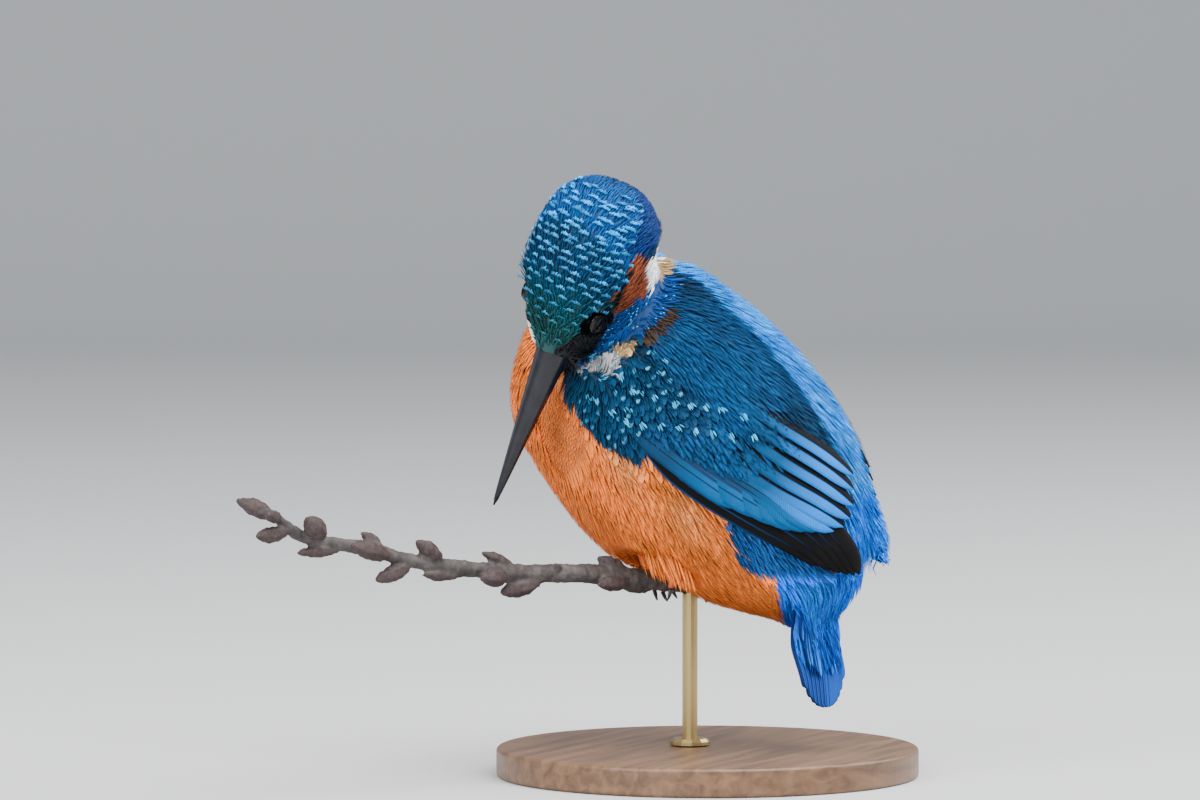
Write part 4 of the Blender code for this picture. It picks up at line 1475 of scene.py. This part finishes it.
# %% Long feathers
THICK = 0.12  # of a long feather, in millimetres


def long_feather(course, width, tilt, tip, leading=0.42):
    """A sheet along a course, where course(v, offset in millimetres across, lift) gives a point."""
    shape = bmesh.new()
    bmesh.ops.create_grid(shape, x_segments=6, y_segments=26, size=0.5)
    layer = shape.loops.layers.uv.new("vane")
    for face in shape.faces:
        for loop in face.loops:
            loop[layer].uv = (loop.vert.co.x + 0.5, loop.vert.co.y + 0.5)
    for vertex in shape.verts:
        u, v = vertex.co.x, vertex.co.y + 0.5
        near_root = min(1.0, 0.35 + v * 2.6)
        blunt = max(0.0, (v - tip) / (1 - tip))
        half = width * near_root * math.sqrt(max(0.0, 1 - blunt**2.2))
        offset = half * (u + 0.5 - leading)
        camber = 0.18 * width * 0.3 * (1 - (2 * u) ** 2) + tilt * offset
        vertex.co = course(v, offset, camber)
    return shape


def feather_sheets(name, feathers, material, slot):
    """Joins long feathers to one piece, thickens them and gives each a strip of the bake's map."""
    whole = bmesh.new()
    for shape in feathers:
        mesh = bpy.data.meshes.new("one")
        shape.to_mesh(mesh)
        whole.from_mesh(mesh)
        bpy.data.meshes.remove(mesh)
        shape.free()
    count = len(feathers)
    each = len(whole.faces) // count
    vane = whole.loops.layers.uv["vane"]
    bake = whole.loops.layers.uv.new(BAKE_MAP)
    for number, face in enumerate(whole.faces):
        strip = number // each
        for loop in face.loops:
            u, v = loop[vane].uv
            loop[bake].uv = ((strip + 0.08 + 0.84 * u) / count, 0.02 + 0.96 * v)
    mesh = bpy.data.meshes.new(name)
    whole.to_mesh(mesh)
    whole.free()
    mesh.shade_smooth()
    piece = add(name, mesh, material, slot)
    step = piece.modifiers.new("thickness", "SOLIDIFY")
    step.thickness = THICK * MM
    step.offset = 0.0
    print(name, count, "long feathers")


print("thickness of a long feather", THICK, "mm")


# %% [markdown]
# ## Webs of a long feather
# The outer web of a long feather is blue and the inner web nearly black, and each feather covers the
# inner web of the next. The finish reads which web it is on from the map across the feather, and tints
# the shaft.


# %% Webs
def long_finish(name, outer, inner, shaft, boundary, base=None):
    """The finish of a long feather: outer web, inner web and shaft, and the colour of its covered base."""
    material, tree, shader = finish(name, outer, 0.7)
    u, v = vane_place(tree)
    off_shaft, wave = slanting_barbs(tree, u, v, 0.42, 0.18, 420.0)
    fine = noise(tree, object_place(tree), 1800.0, 2.0)
    barb, grain = spread(tree, wave, -1.0, 1.0, 0.8, 1.08), spread(tree, fine, 0.3, 0.7, 0.95, 1.04)
    shade = maths(tree, "MULTIPLY", barb, grain)
    blade_colour = (*outer, 1.0)
    if base:
        blade_colour = mix(tree, spread(tree, v, 0.40, 0.78), (*base, 1.0), blade_colour)
    web = mix(tree, spread(tree, u, boundary - 0.04, boundary + 0.03), (*inner, 1.0), blade_colour)
    rib = ramp(tree, off_shaft, [(0.0, shaft), (0.022, shaft), (0.04, (1, 1, 1)), (1.0, (1, 1, 1))])
    colour = mix(tree, 1.0, mix(tree, 1.0, web, rib, "MULTIPLY"), shade, "MULTIPLY")
    tree.links.new(colour, shader.inputs["Base Color"])
    shader.inputs["Specular IOR Level"].default_value = 0.1
    bump(tree, shader, shade, 0.3, 0.00005)
    return material


GREY_SHAFT, PALE_SHAFT, DARK_SHAFT = (0.25, 0.25, 0.25), (0.6, 0.6, 0.6), (0.10, 0.10, 0.12)
webs = {
    "tertial": long_finish(
        "blue_web", (0.001, 0.16, 0.58), (0.0015, 0.002, 0.004), GREY_SHAFT, 0.5, (0.003, 0.05, 0.14)
    ),
    "secondary": long_finish(
        "dull_web", (0.002, 0.075, 0.22), (0.002, 0.016, 0.05), GREY_SHAFT, 0.14, (0.002, 0.03, 0.08)
    ),
    "primary": long_finish(
        "black_web", (0.0022, 0.0018, 0.0022), (0.0016, 0.0014, 0.0018), PALE_SHAFT, 0.9, (0.002, 0.04, 0.13)
    ),
    "rump": long_finish("rump_web", (0.002, 0.21, 0.90), (0.001, 0.02, 0.12), (0.3, 0.3, 0.3), 0.3),
    "tail": long_finish("tail_web", (0.0, 0.07, 0.40), (0.001, 0.012, 0.08), DARK_SHAFT, 0.3),
}
print("finishes of long feathers", len(webs))

# %% [markdown]
# ## The closed wing
# In a closed wing the long feathers fan over one another. The tertials lie on top, nearest to the back,
# then the secondaries, and the black primaries come out beneath them and reach furthest. Each has a root
# and a tip.

# %% Rows of the wing
# place and angle of root and tip, bow in degrees, width in millimetres, and lift of the tip
INNER = (
    (3.70, 45, 5.40, 17, 5.0, 4.5, 0.70),
    (3.80, 48, 5.57, 21, 6.0, 4.5, 0.66),
    (4.00, 53, 5.77, 25, 6.0, 4.5, 0.62),
    (4.10, 59, 5.91, 31, 6.5, 4.5, 0.58),
    (4.14, 65, 5.96, 38, 6.5, 4.5, 0.54),
    (4.10, 69, 5.93, 46, 4.5, 5.0, 0.49),
    (4.00, 73, 5.80, 54, 3.5, 5.0, 0.44),
    (3.90, 77, 5.62, 63, 2.5, 5.0, 0.38),
    (3.70, 81, 5.34, 69.5, 2.0, 4.6, 0.34),
    (3.30, 88, 4.85, 78.5, -1.0, 4.2, 0.25),
)
OUTER = (
    (3.6, 62, 6.95, 25, 7.0, 3.6, 0.2),
    (3.6, 68, 6.92, 31, 7.0, 3.6, 0.1),
    (3.5, 73, 6.84, 38, 7.0, 3.6, 0.0),
    (3.5, 78, 6.72, 46, 7.5, 3.6, -0.1),
    (3.3, 85, 6.54, 55, 8.0, 3.5, -0.2),
    (3.3, 87, 6.30, 64, 7.6, 3.4, -0.3),
)
RIGHT_TURN = 6.0  # degrees that the right wing lies lower on the twisted body
RIGHT_SINK = 1.1  # millimetres that its feathers lie closer to the body


def wing_course(side, row, lift_root):
    """A course over the closed wing, for a row of the tables above, on the left (1) or the right (-1)."""
    root_place, root_angle, tip_place, tip_angle, bow = row[:5]
    lift_tip = row[6] if side > 0 else row[6] - RIGHT_SINK

    def course(v, offset, camber):
        place = root_place + (tip_place - root_place) * v
        angle = root_angle + (tip_angle - root_angle) * v + bow * math.sin(v * math.pi)
        if side < 0:
            place = 1.95 + (place - 1.95) * 0.955
            angle += RIGHT_TURN
        section = smooth_row(TRUNK, place)[2:4]
        radius = 0.5 * (section[0] + section[1]) + 2.0
        opened = float(ease(np.float64(v), 0.0, 0.8))
        lift = column(WING, 3, place) + lift_root + (lift_tip - lift_root) * opened + camber
        return body_point(place, side * (angle + math.degrees(offset / radius)), lift)

    return course


listed = np.array(INNER)
between = np.linspace(6, 9, 6)
secondaries = np.stack([np.interp(between, range(10), values) for values in listed.T], 1)
secondaries[:, 5] *= 0.9
for side_name, side in (("left", 1), ("right", -1)):
    for name, rows in (("tertial", listed[:6]), ("secondary", secondaries)):
        made = [long_feather(wing_course(side, row, -1.3), row[5], 0.12, 0.8, 0.46) for row in rows]
        feather_sheets(f"{name}_{side_name}", made, webs[name], "blue_green_feather")
    made = [long_feather(wing_course(side, row, -1.4), row[5], 0.1, 0.72) for row in OUTER]
    feather_sheets(f"primary_{side_name}", made, webs["primary"], "black_horn")

# %% [markdown]
# ## Spots on the wing
# The tips of the coverts carry pale blue streaks, in two dotted rows down the wing, with a few loose
# flecks above them. Each spot is four bright barbs that fan out a little.

# %% Wing spots
# place and angle of the tip of each spotted covert, in two rows
MEDIAN = (
    (2.84, 86), (2.96, 79), (3.17, 79), (3.39, 74), (3.59, 69), (3.69, 65), (3.81, 61), (3.94, 57),
    (4.14, 52),
)
GREATER = (
    (2.97, 93), (3.2, 91), (3.38, 88), (3.54, 84), (3.68, 79), (3.82, 74), (3.96, 70), (4.1, 66), (4.24, 61),
    (4.4, 54),
)
SPOT_LIFT = 1.8  # height over the trunk at which a spot's root is set before it is put on the skin


def spot_barbs(draw):
    """Start, length and brightness of each barb of the spots and flecks, on both wings."""
    made = []
    for side in (1, -1):
        for tips, size in ((MEDIAN, 1.0), (GREATER, 1.1)):
            for place, angle in tips:
                for barb in (-1.5, -0.5, 0.5, 1.5):
                    start = place - 1.8 / TRUNK_STEP + draw.normal(0, 0.012)
                    turned = angle - 1.5 + barb * 0.55 + draw.normal(0, 0.15)
                    point = body_point(start, side * turned, SPOT_LIFT)
                    length = size * draw.uniform(1.5, 2.3) * (1 - 0.14 * abs(barb))
                    made.append((*point, length, draw.uniform(0.6, 1.15)))
        for fleck in range(26):
            place, angle = draw.uniform(2.35, 3.3), draw.uniform(58, 98)
            for barb in (-0.5, 0.5):
                point = body_point(place, side * (angle + barb * 0.9), SPOT_LIFT)
                made.append((*point, draw.uniform(0.9, 1.5), draw.uniform(0.25, 0.7)))
    return np.array(made)


spots = spot_barbs(np.random.default_rng(17))
roots, outs, faces = onto_skin(spots[:, :3])
tone = np.array((0.06, 0.45, 0.80)) * spots[:, 4:]
lay("wing_spot", soft, "azure_feather", LOCK, roots, faces, (spots[:, 3] * 0.85, 0.38, 0.1, 1.75), tone,
    turns=8, unlike=0.1, root_shade=0.75, flat=True)

# %% [markdown]
# ## Tail
# The tail is short and hangs nearly straight down. Its twelve feathers lie side by side, the middle ones
# on top, and ragged coverts of the rump cover their roots. Both kinds follow a table of the tail's own
# sections.

# %% Tail
# forward and up of the middle, half width, half thickness, and slope in degrees
TAIL = (
    (-26.5, 6.0, 6.0, 2.2, 62.0),
    (-27.4, -1.0, 8.8, 2.3, 78.0),
    (-27.6, -8.0, 12.2, 2.0, 83.0),
    (-28.2, -13.0, 11.4, 1.4, 83.0),
    (-29.0, -18.5, 8.6, 1.0, 83.0),
    (-29.6, -22.5, 5.8, 0.75, 83.0),
    (-30.1, -24.8, 3.0, 0.5, 83.0),
)
LAYER = 0.32  # millimetres between feathers that lie on one another


def tail_course(share, length, layer, start=0.6, over=0.0):
    """A tail feather's course: its share of the tail's width to the left, its length, and its layer."""

    def course(v, offset, camber):
        place = start + (length - start) * v
        forward, up, half, thick, slope = smooth_row(TAIL, place)
        fall = math.radians(slope)
        out = layer * LAYER + camber + over * thick * float(ease(np.float64(place), 2.5, 4.2))
        wide = 8.0 + 3.4 * ease(np.float64(place), 0.5, 3.0) - 2.2 * ease(np.float64(place), 3.0, 6.0)
        return at(share * float(wide) - offset, forward - out * math.sin(fall), up + out * math.cos(fall))

    return course


made = []
for number in range(12):
    share = (number - 5.5) / 5.5
    length = 6.0 - 1.6 * abs(share) ** 2.2
    course = tail_course(share * 0.86, length, 2.2 - 1.9 * abs(share), over=1.1)
    made.append(long_feather(course, 4.6, 0.0, 0.9, 0.5))
feather_sheets("tail_feather", made, webs["tail"], "azure_feather")
draw = np.random.default_rng(27)
made = []
for number in range(22):
    share = (number * 7 % 22 - 10.5) / 10.5
    length = 4.3 - 1.5 * abs(share) + draw.uniform(-0.7, 0.5)
    course = tail_course(share * 0.82, length, 4.6 + 0.12 * number, start=-0.35)
    made.append(long_feather(course, 2.9, 0.0, 0.72, 0.5))
feather_sheets("tail_covert", made, webs["rump"], "azure_feather")

# %% [markdown]
# ## Bill
# The bill is a long straight dagger in two halves. The upper half has a ridge and closes over the lower
# one. Each half is a rod cut across in many places; every cut is then shaped to the half's outline there.

# %% Rods and turned shapes
def rod(cuts, sides, outline):
    """A closed rod cut across and shaped there: outline(share of its length, angle) gives each point."""
    shape = bmesh.new()
    bmesh.ops.create_cone(
        shape, cap_ends=True, segments=sides, radius1=0.5, radius2=0.5, depth=1.0, matrix=UPRIGHT_CONE
    )
    cut_across(shape, [number / (cuts - 1) for number in range(1, cuts - 1)])
    for vertex in shape.verts:
        vertex.co = outline(vertex.co.z, math.atan2(vertex.co.y, vertex.co.x))
    bmesh.ops.triangulate(shape, faces=[face for face in shape.faces if len(face.verts) > 4])
    bmesh.ops.recalc_face_normals(shape, faces=shape.faces)
    return shape


def as_mesh(shape, name, smooth=True):
    """Turns a shape into a mesh and frees it."""
    mesh = bpy.data.meshes.new(name)
    shape.to_mesh(mesh)
    shape.free()
    if smooth:
        mesh.shade_smooth()
    return mesh


print("ready to shape rods")

# %% [markdown]
# The bill's outline is a short table. Between its rows the numbers are read off straight lines. Each half
# turns a share of its length and an angle round it into a point.

# %% Shape of the bill
# along, half width, height of the upper half, depth of the lower half
BILL = (
    (13.0, 4.3, 4.1, 3.3),
    (18.0, 4.0, 4.1, 3.3),
    (24.0, 3.3, 3.6, 2.8),
    (32.0, 2.5, 2.9, 2.1),
    (42.0, 1.55, 1.9, 1.3),
    (49.0, 0.9, 1.1, 0.75),
    (54.0, 0.35, 0.45, 0.35),
)
MOUTH = -1.6  # height of the line between the halves, in the head's frame


def bill_row(v):
    """Along, half width, upper height and lower depth of the bill at this share of its length."""
    along = BILL[0][0] + (BILL[-1][0] - BILL[0][0]) * (1 - (1 - v) ** 1.15)
    return along, *(float(column(BILL, number, along)) for number in (1, 2, 3))


def upper_outline(v, angle):
    """The upper half: a ridge on top, a shallow groove on both sides of it, and a nearly flat underside."""
    along, half, height, depth = bill_row(v)
    across, rise = math.cos(angle), math.sin(angle)
    if rise >= 0:
        y, z = half * across * (1 - 0.18 * rise), MOUTH + height * rise**0.85
        z -= 0.10 * height * math.exp(-(((abs(angle - math.pi / 2) - 0.85) / 0.22) ** 2))
    else:
        y, z = half * across * 0.98, MOUTH - 0.12 - 0.05 * rise
    if v > 0.97:
        y, z = y * 0.6, MOUTH + (z - MOUTH) * 0.7
    return HEAD @ (Vector((along, y, z)) * MM)


def lower_outline(v, angle):
    """The lower half: a little narrower and shorter, with a rounded keel."""
    along, half, height, depth = bill_row(v)
    across, rise = math.cos(angle), math.sin(angle)
    if rise <= 0:
        y, z = half * 0.94 * across * (1 + 0.15 * rise), MOUTH - 0.1 - depth * (-rise) ** 0.9
    else:
        y, z = half * 0.90 * across, MOUTH - 0.1 + 0.04 * rise
    return HEAD @ (Vector((along - 0.7 * v, y, z)) * MM)


print("each half is", round(BILL[-1][0] - BILL[0][0], 1), "mm long, with its root inside the head")

# %% [markdown]
# Bill and claws are dark horn. It is paler in streaks, with a faint unevenness that dulls its shine.


# %% Bill
def horn(name, base, light, roughness):
    """Dark horn, paler in streaks."""
    material, tree, shader = finish(name, base, roughness)
    place = object_place(tree)
    broad = noise(tree, place, 320.0, 4.0, Roughness=0.6)
    tree.links.new(ramp(tree, broad, [(0.35, base), (0.75, light)]), shader.inputs["Base Color"])
    bump(tree, shader, noise(tree, place, 1500.0, 3.0), 0.25, 0.00006)
    shader.inputs["Specular IOR Level"].default_value = 0.4
    return material


bill_horn = horn("bill_horn", (0.003, 0.003, 0.006), (0.012, 0.012, 0.019), 0.3)
claw_horn = horn("claw_horn", (0.015, 0.013, 0.012), (0.05, 0.04, 0.03), 0.3)
for half, outline in (("upper", upper_outline), ("lower", lower_outline)):
    mesh = as_mesh(rod(40, 40, outline), f"{half}_bill")
    add(f"{half}_bill", mesh, bill_horn, "black_horn", f"bill_{half}")
    print(f"{half}_bill", len(mesh.polygons), "faces")

# %% [markdown]
# ## Eyes
# The eye is a dark, wet-looking ball that shows only as a small disc between narrow lids. Each lid ring
# is a thin circle spun round the eye's own axis.

# %% Eyes
LID_RADIUS, LID_THICK = 1.9, 0.26
LID_OUT = 0.95  # how far out from the eye's middle the ring lies


def eye_ball(middle):
    """An eyeball, flatter across the head than along it."""
    ball = bmesh.new()
    bmesh.ops.create_uvsphere(ball, u_segments=40, v_segments=28, radius=1.0)
    radii = (EYE_RADII[0] * MM, EYE_RADII[1] * MM, EYE_RADII[0] * MM)
    bmesh.ops.scale(ball, verts=ball.verts, vec=radii)
    bmesh.ops.transform(ball, matrix=HEAD @ Matrix.Translation(middle * MM), verts=ball.verts)
    return ball


def lid_ring(middle, side):
    """A lid round the eye, a little longer than high, that faces outwards and slightly forward."""
    lid = bmesh.new()
    bmesh.ops.create_circle(lid, cap_ends=False, segments=10, radius=LID_THICK)
    upright = Matrix.Rotation(math.radians(90), 3, "X")
    bmesh.ops.rotate(lid, verts=lid.verts, cent=(0, 0, 0), matrix=upright)
    bmesh.ops.translate(lid, verts=lid.verts, vec=(LID_RADIUS, 0, 0))
    bmesh.ops.spin(
        lid, geom=lid.verts[:] + lid.edges[:], cent=(0, 0, 0), axis=(0, 0, 1), dvec=(0, 0, 0),
        angle=math.tau, steps=40, use_merge=True, use_duplicate=False,
    )
    turn = Vector((0.12, side, 0.06)).normalized().to_track_quat("Z", "X").to_matrix()
    for vertex in lid.verts:
        local = turn @ Vector((vertex.co.x * 1.05, vertex.co.y * 0.92, vertex.co.z + LID_OUT))
        vertex.co = HEAD @ ((middle + local) * MM)
    bmesh.ops.recalc_face_normals(lid, faces=lid.faces)
    return lid


for side_name, side in (("left", 1), ("right", -1)):
    middle = Vector((EYE_PLACE[0], side * EYE_PLACE[1], EYE_PLACE[2]))
    wet = finish(f"eye_{side_name}", (0.003, 0.0025, 0.002), 0.1, Specular_IOR_Level=0.3)[0]
    ball = as_mesh(eye_ball(middle), "eye")
    add(f"eye_ball_{side_name}", ball, wet, "dark_eye", f"eye_{side_name}")
    dry = finish(f"lid_{side_name}", (0.006, 0.005, 0.005), 0.7, Specular_IOR_Level=0.1)[0]
    add(f"lid_{side_name}", as_mesh(lid_ring(middle, side), "lid"), dry, "black_horn")
    print(side_name, "eye has", len(ball.polygons), "faces")

# %% [markdown]
# ## Feet
# Small bright red feet hold the twig. Their solids are merged into one smooth skin each, and the finish
# adds the small scales across the toes. The claws are dark hooks.

# %% Feet and claws
red, tree, shader = finish("foot_skin", (0.62, 0.06, 0.015), 0.42)
cells = {"Vector": object_place(tree), "Scale": 1500.0}
scales = node(tree, "TexVoronoi", cells, feature="DISTANCE_TO_EDGE").outputs["Distance"]
tone = ramp(tree, scales, [(0.0, (0.22, 0.018, 0.008)), (0.12, (0.66, 0.075, 0.02))])
tree.links.new(tone, shader.inputs["Base Color"])
bump(tree, shader, scales, 0.6, 0.0001)
for side in ("left", "right"):
    foot = remeshed(solid_copy([f"foot_{side}", f"leg_{side}"], 0.04 * MM), 0.2 * MM, 4)
    foot.shade_smooth()
    add(f"red_foot_{side}", foot, red, "red_foot_skin", f"foot_{side}", f"leg_{side}")
    for number in (1, 2, 3, 4):
        claw = remeshed(solid_copy([f"claw_{side}_{number}"], 0.02 * MM), 0.08 * MM, 2)
        claw.shade_smooth()
        add(f"hook_{side}_{number}", claw, claw_horn, "black_horn", f"claw_{side}_{number}")
    print(side, "foot has", len(foot.polygons), "faces")

# %% [markdown]
# ## Twig
# The twig is grey bark with small browner buds. The solid twig is remeshed finely, and its surface is
# roughened a little by moving each point in or out.

# %% Twig
twig_mesh = remeshed(solid_copy(["perch_twig"], 0.02 * MM), 0.3 * MM, 5)
shape = bmesh.new()
shape.from_mesh(twig_mesh)
shape.normal_update()
twig_points = np.array([v.co for v in shape.verts])
rough = 0.10 * unsteady(twig_points, 31, count=8, size=3.2)
rough += 0.05 * unsteady(twig_points, 32, count=8, size=1.1)
for vertex, move in zip(shape.verts, rough):
    vertex.co += vertex.normal * float(move) * MM
shape.to_mesh(twig_mesh)
shape.free()
twig_mesh.shade_smooth()
print("twig roughened by up to", round(float(np.abs(rough).max()), 2), "mm")

# %% [markdown]
# Which points belong to a bud is worked out from the twig's own line: all that stands further out than
# its radius there is bud. That share is painted on the mesh, and the bark's finish mixes two browns by
# it.

# %% Buds and bark
TWIG_HEADING = math.radians(35.0)
# along the twig, height and offset of its middle line there, and its radius
TWIG_LINE = (
    (-31.0, 1.4, 0.6, 1.12), (-14.0, -0.3, 0.2, 1.08), (0.0, 0.0, 0.0, 1.04), (12.0, 1.5, -0.1, 1.02),
    (22.0, 2.7, 0.0, 0.98), (31.0, 3.3, 0.2, 0.95), (41.0, 3.5, 0.0, 0.93), (50.0, 4.7, -0.2, 0.82),
    (59.0, 5.8, 0.0, 0.76), (68.5, 7.8, 0.2, 0.68), (75.5, 10.1, 0.0, 0.72), (82.0, 11.0, -0.1, 0.66),
    (89.0, 12.3, 0.0, 0.62), (93.5, 14.4, 0.1, 0.56), (97.6, 18.0, 0.0, 0.5),
)
local = from_grip(twig_points)
along = local @ np.array((math.cos(TWIG_HEADING), -math.sin(TWIG_HEADING), 0.0))
beside = local @ np.array((-math.sin(TWIG_HEADING), -math.cos(TWIG_HEADING), 0.0))
off_line = np.hypot(local[:, 2] - column(TWIG_LINE, 1, along), beside - column(TWIG_LINE, 2, along))
bud_share = ease(off_line / (column(TWIG_LINE, 3, along) * 2.1), 1.15, 1.6)
paint = twig_mesh.color_attributes.new("bud", "FLOAT_COLOR", "POINT")
paint.data.foreach_set("color", np.repeat(bud_share, 4).astype(np.float32))
bark, tree, shader = finish("bark", (0.2, 0.17, 0.15), 0.75)
place = object_place(tree)
broad = noise(tree, place, 260.0, 5.0, Roughness=0.65)
fine = noise(tree, place, 1400.0, 4.0)
dark_bark, mid_bark, pale_bark = (0.016, 0.012, 0.011), (0.040, 0.033, 0.030), (0.095, 0.084, 0.078)
grey = ramp(tree, broad, [(0.3, dark_bark), (0.5, mid_bark), (0.72, pale_bark)])
brown = ramp(tree, fine, [(0.3, (0.018, 0.010, 0.009)), (0.7, (0.050, 0.030, 0.028))])
share = node(tree, "Attribute", attribute_name="bud").outputs["Fac"]
tree.links.new(mix(tree, share, grey, brown), shader.inputs["Base Color"])
bump(tree, shader, fine, 0.5, 0.0002)
add("twig", twig_mesh, bark, "willow_bark", "perch_twig")
print("points on buds", int((bud_share > 0.5).sum()))

# %% [markdown]
# ## Stand
# A round base of oiled wood and a thin brass rod carry the twig. Both are turned shapes. The base has a
# small bevel round its rims where light can catch, and the rod keeps its solid shape and only takes a
# metal finish.

# %% Stand
BASE_RADIUS, BASE_HEIGHT = 0.044, 0.006
lifted = Matrix.Translation((0, 0, BASE_HEIGHT / 2))
base = bmesh.new()
bmesh.ops.create_cone(
    base, cap_ends=True, segments=160, depth=BASE_HEIGHT, matrix=lifted,
    radius1=BASE_RADIUS, radius2=BASE_RADIUS,
)
rims = [edge for edge in base.edges if abs(edge.verts[0].co.z - edge.verts[1].co.z) < 1e-6]
bmesh.ops.bevel(base, geom=rims, offset=0.0008, segments=5, profile=0.5, affect="EDGES", material=-1)
wood, tree, shader = finish("oiled_oak", (0.2, 0.1, 0.05), 0.4)
along_grain = {"Vector": object_place(tree), "Scale": (1.0, 14.0, 14.0)}
stretched = node(tree, "Mapping", along_grain).outputs["Vector"]
figure = noise(tree, stretched, 28.0, 6.0, Distortion=0.6)
tone = ramp(tree, figure, [(0.3, (0.075, 0.036, 0.017)), (0.7, (0.19, 0.10, 0.05))])
tree.links.new(tone, shader.inputs["Base Color"])
bump(tree, shader, figure, 0.15, 0.0002)
add("wood_base", as_mesh(base, "base", smooth=False), wood, "oiled_wood", "stand_base")
brass = finish("dull_brass", (0.45, 0.33, 0.14), 0.36, Metallic=1.0)[0]
nodes["stand_rod"].data.materials.clear()
nodes["stand_rod"].data.materials.append(brass)

# %% [markdown]
# ## Sizes and finish
# The box round all the made pieces is set beside the one round the solids. They should agree closely.

# %% Sizes and finish
made_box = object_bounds()
sizes = {"cad": [list(corner) for corner in cad_box], "made": [list(corner) for corner in made_box]}
print("coat triangles", sum(len(piece.data.polygons) for piece in coat_pieces))
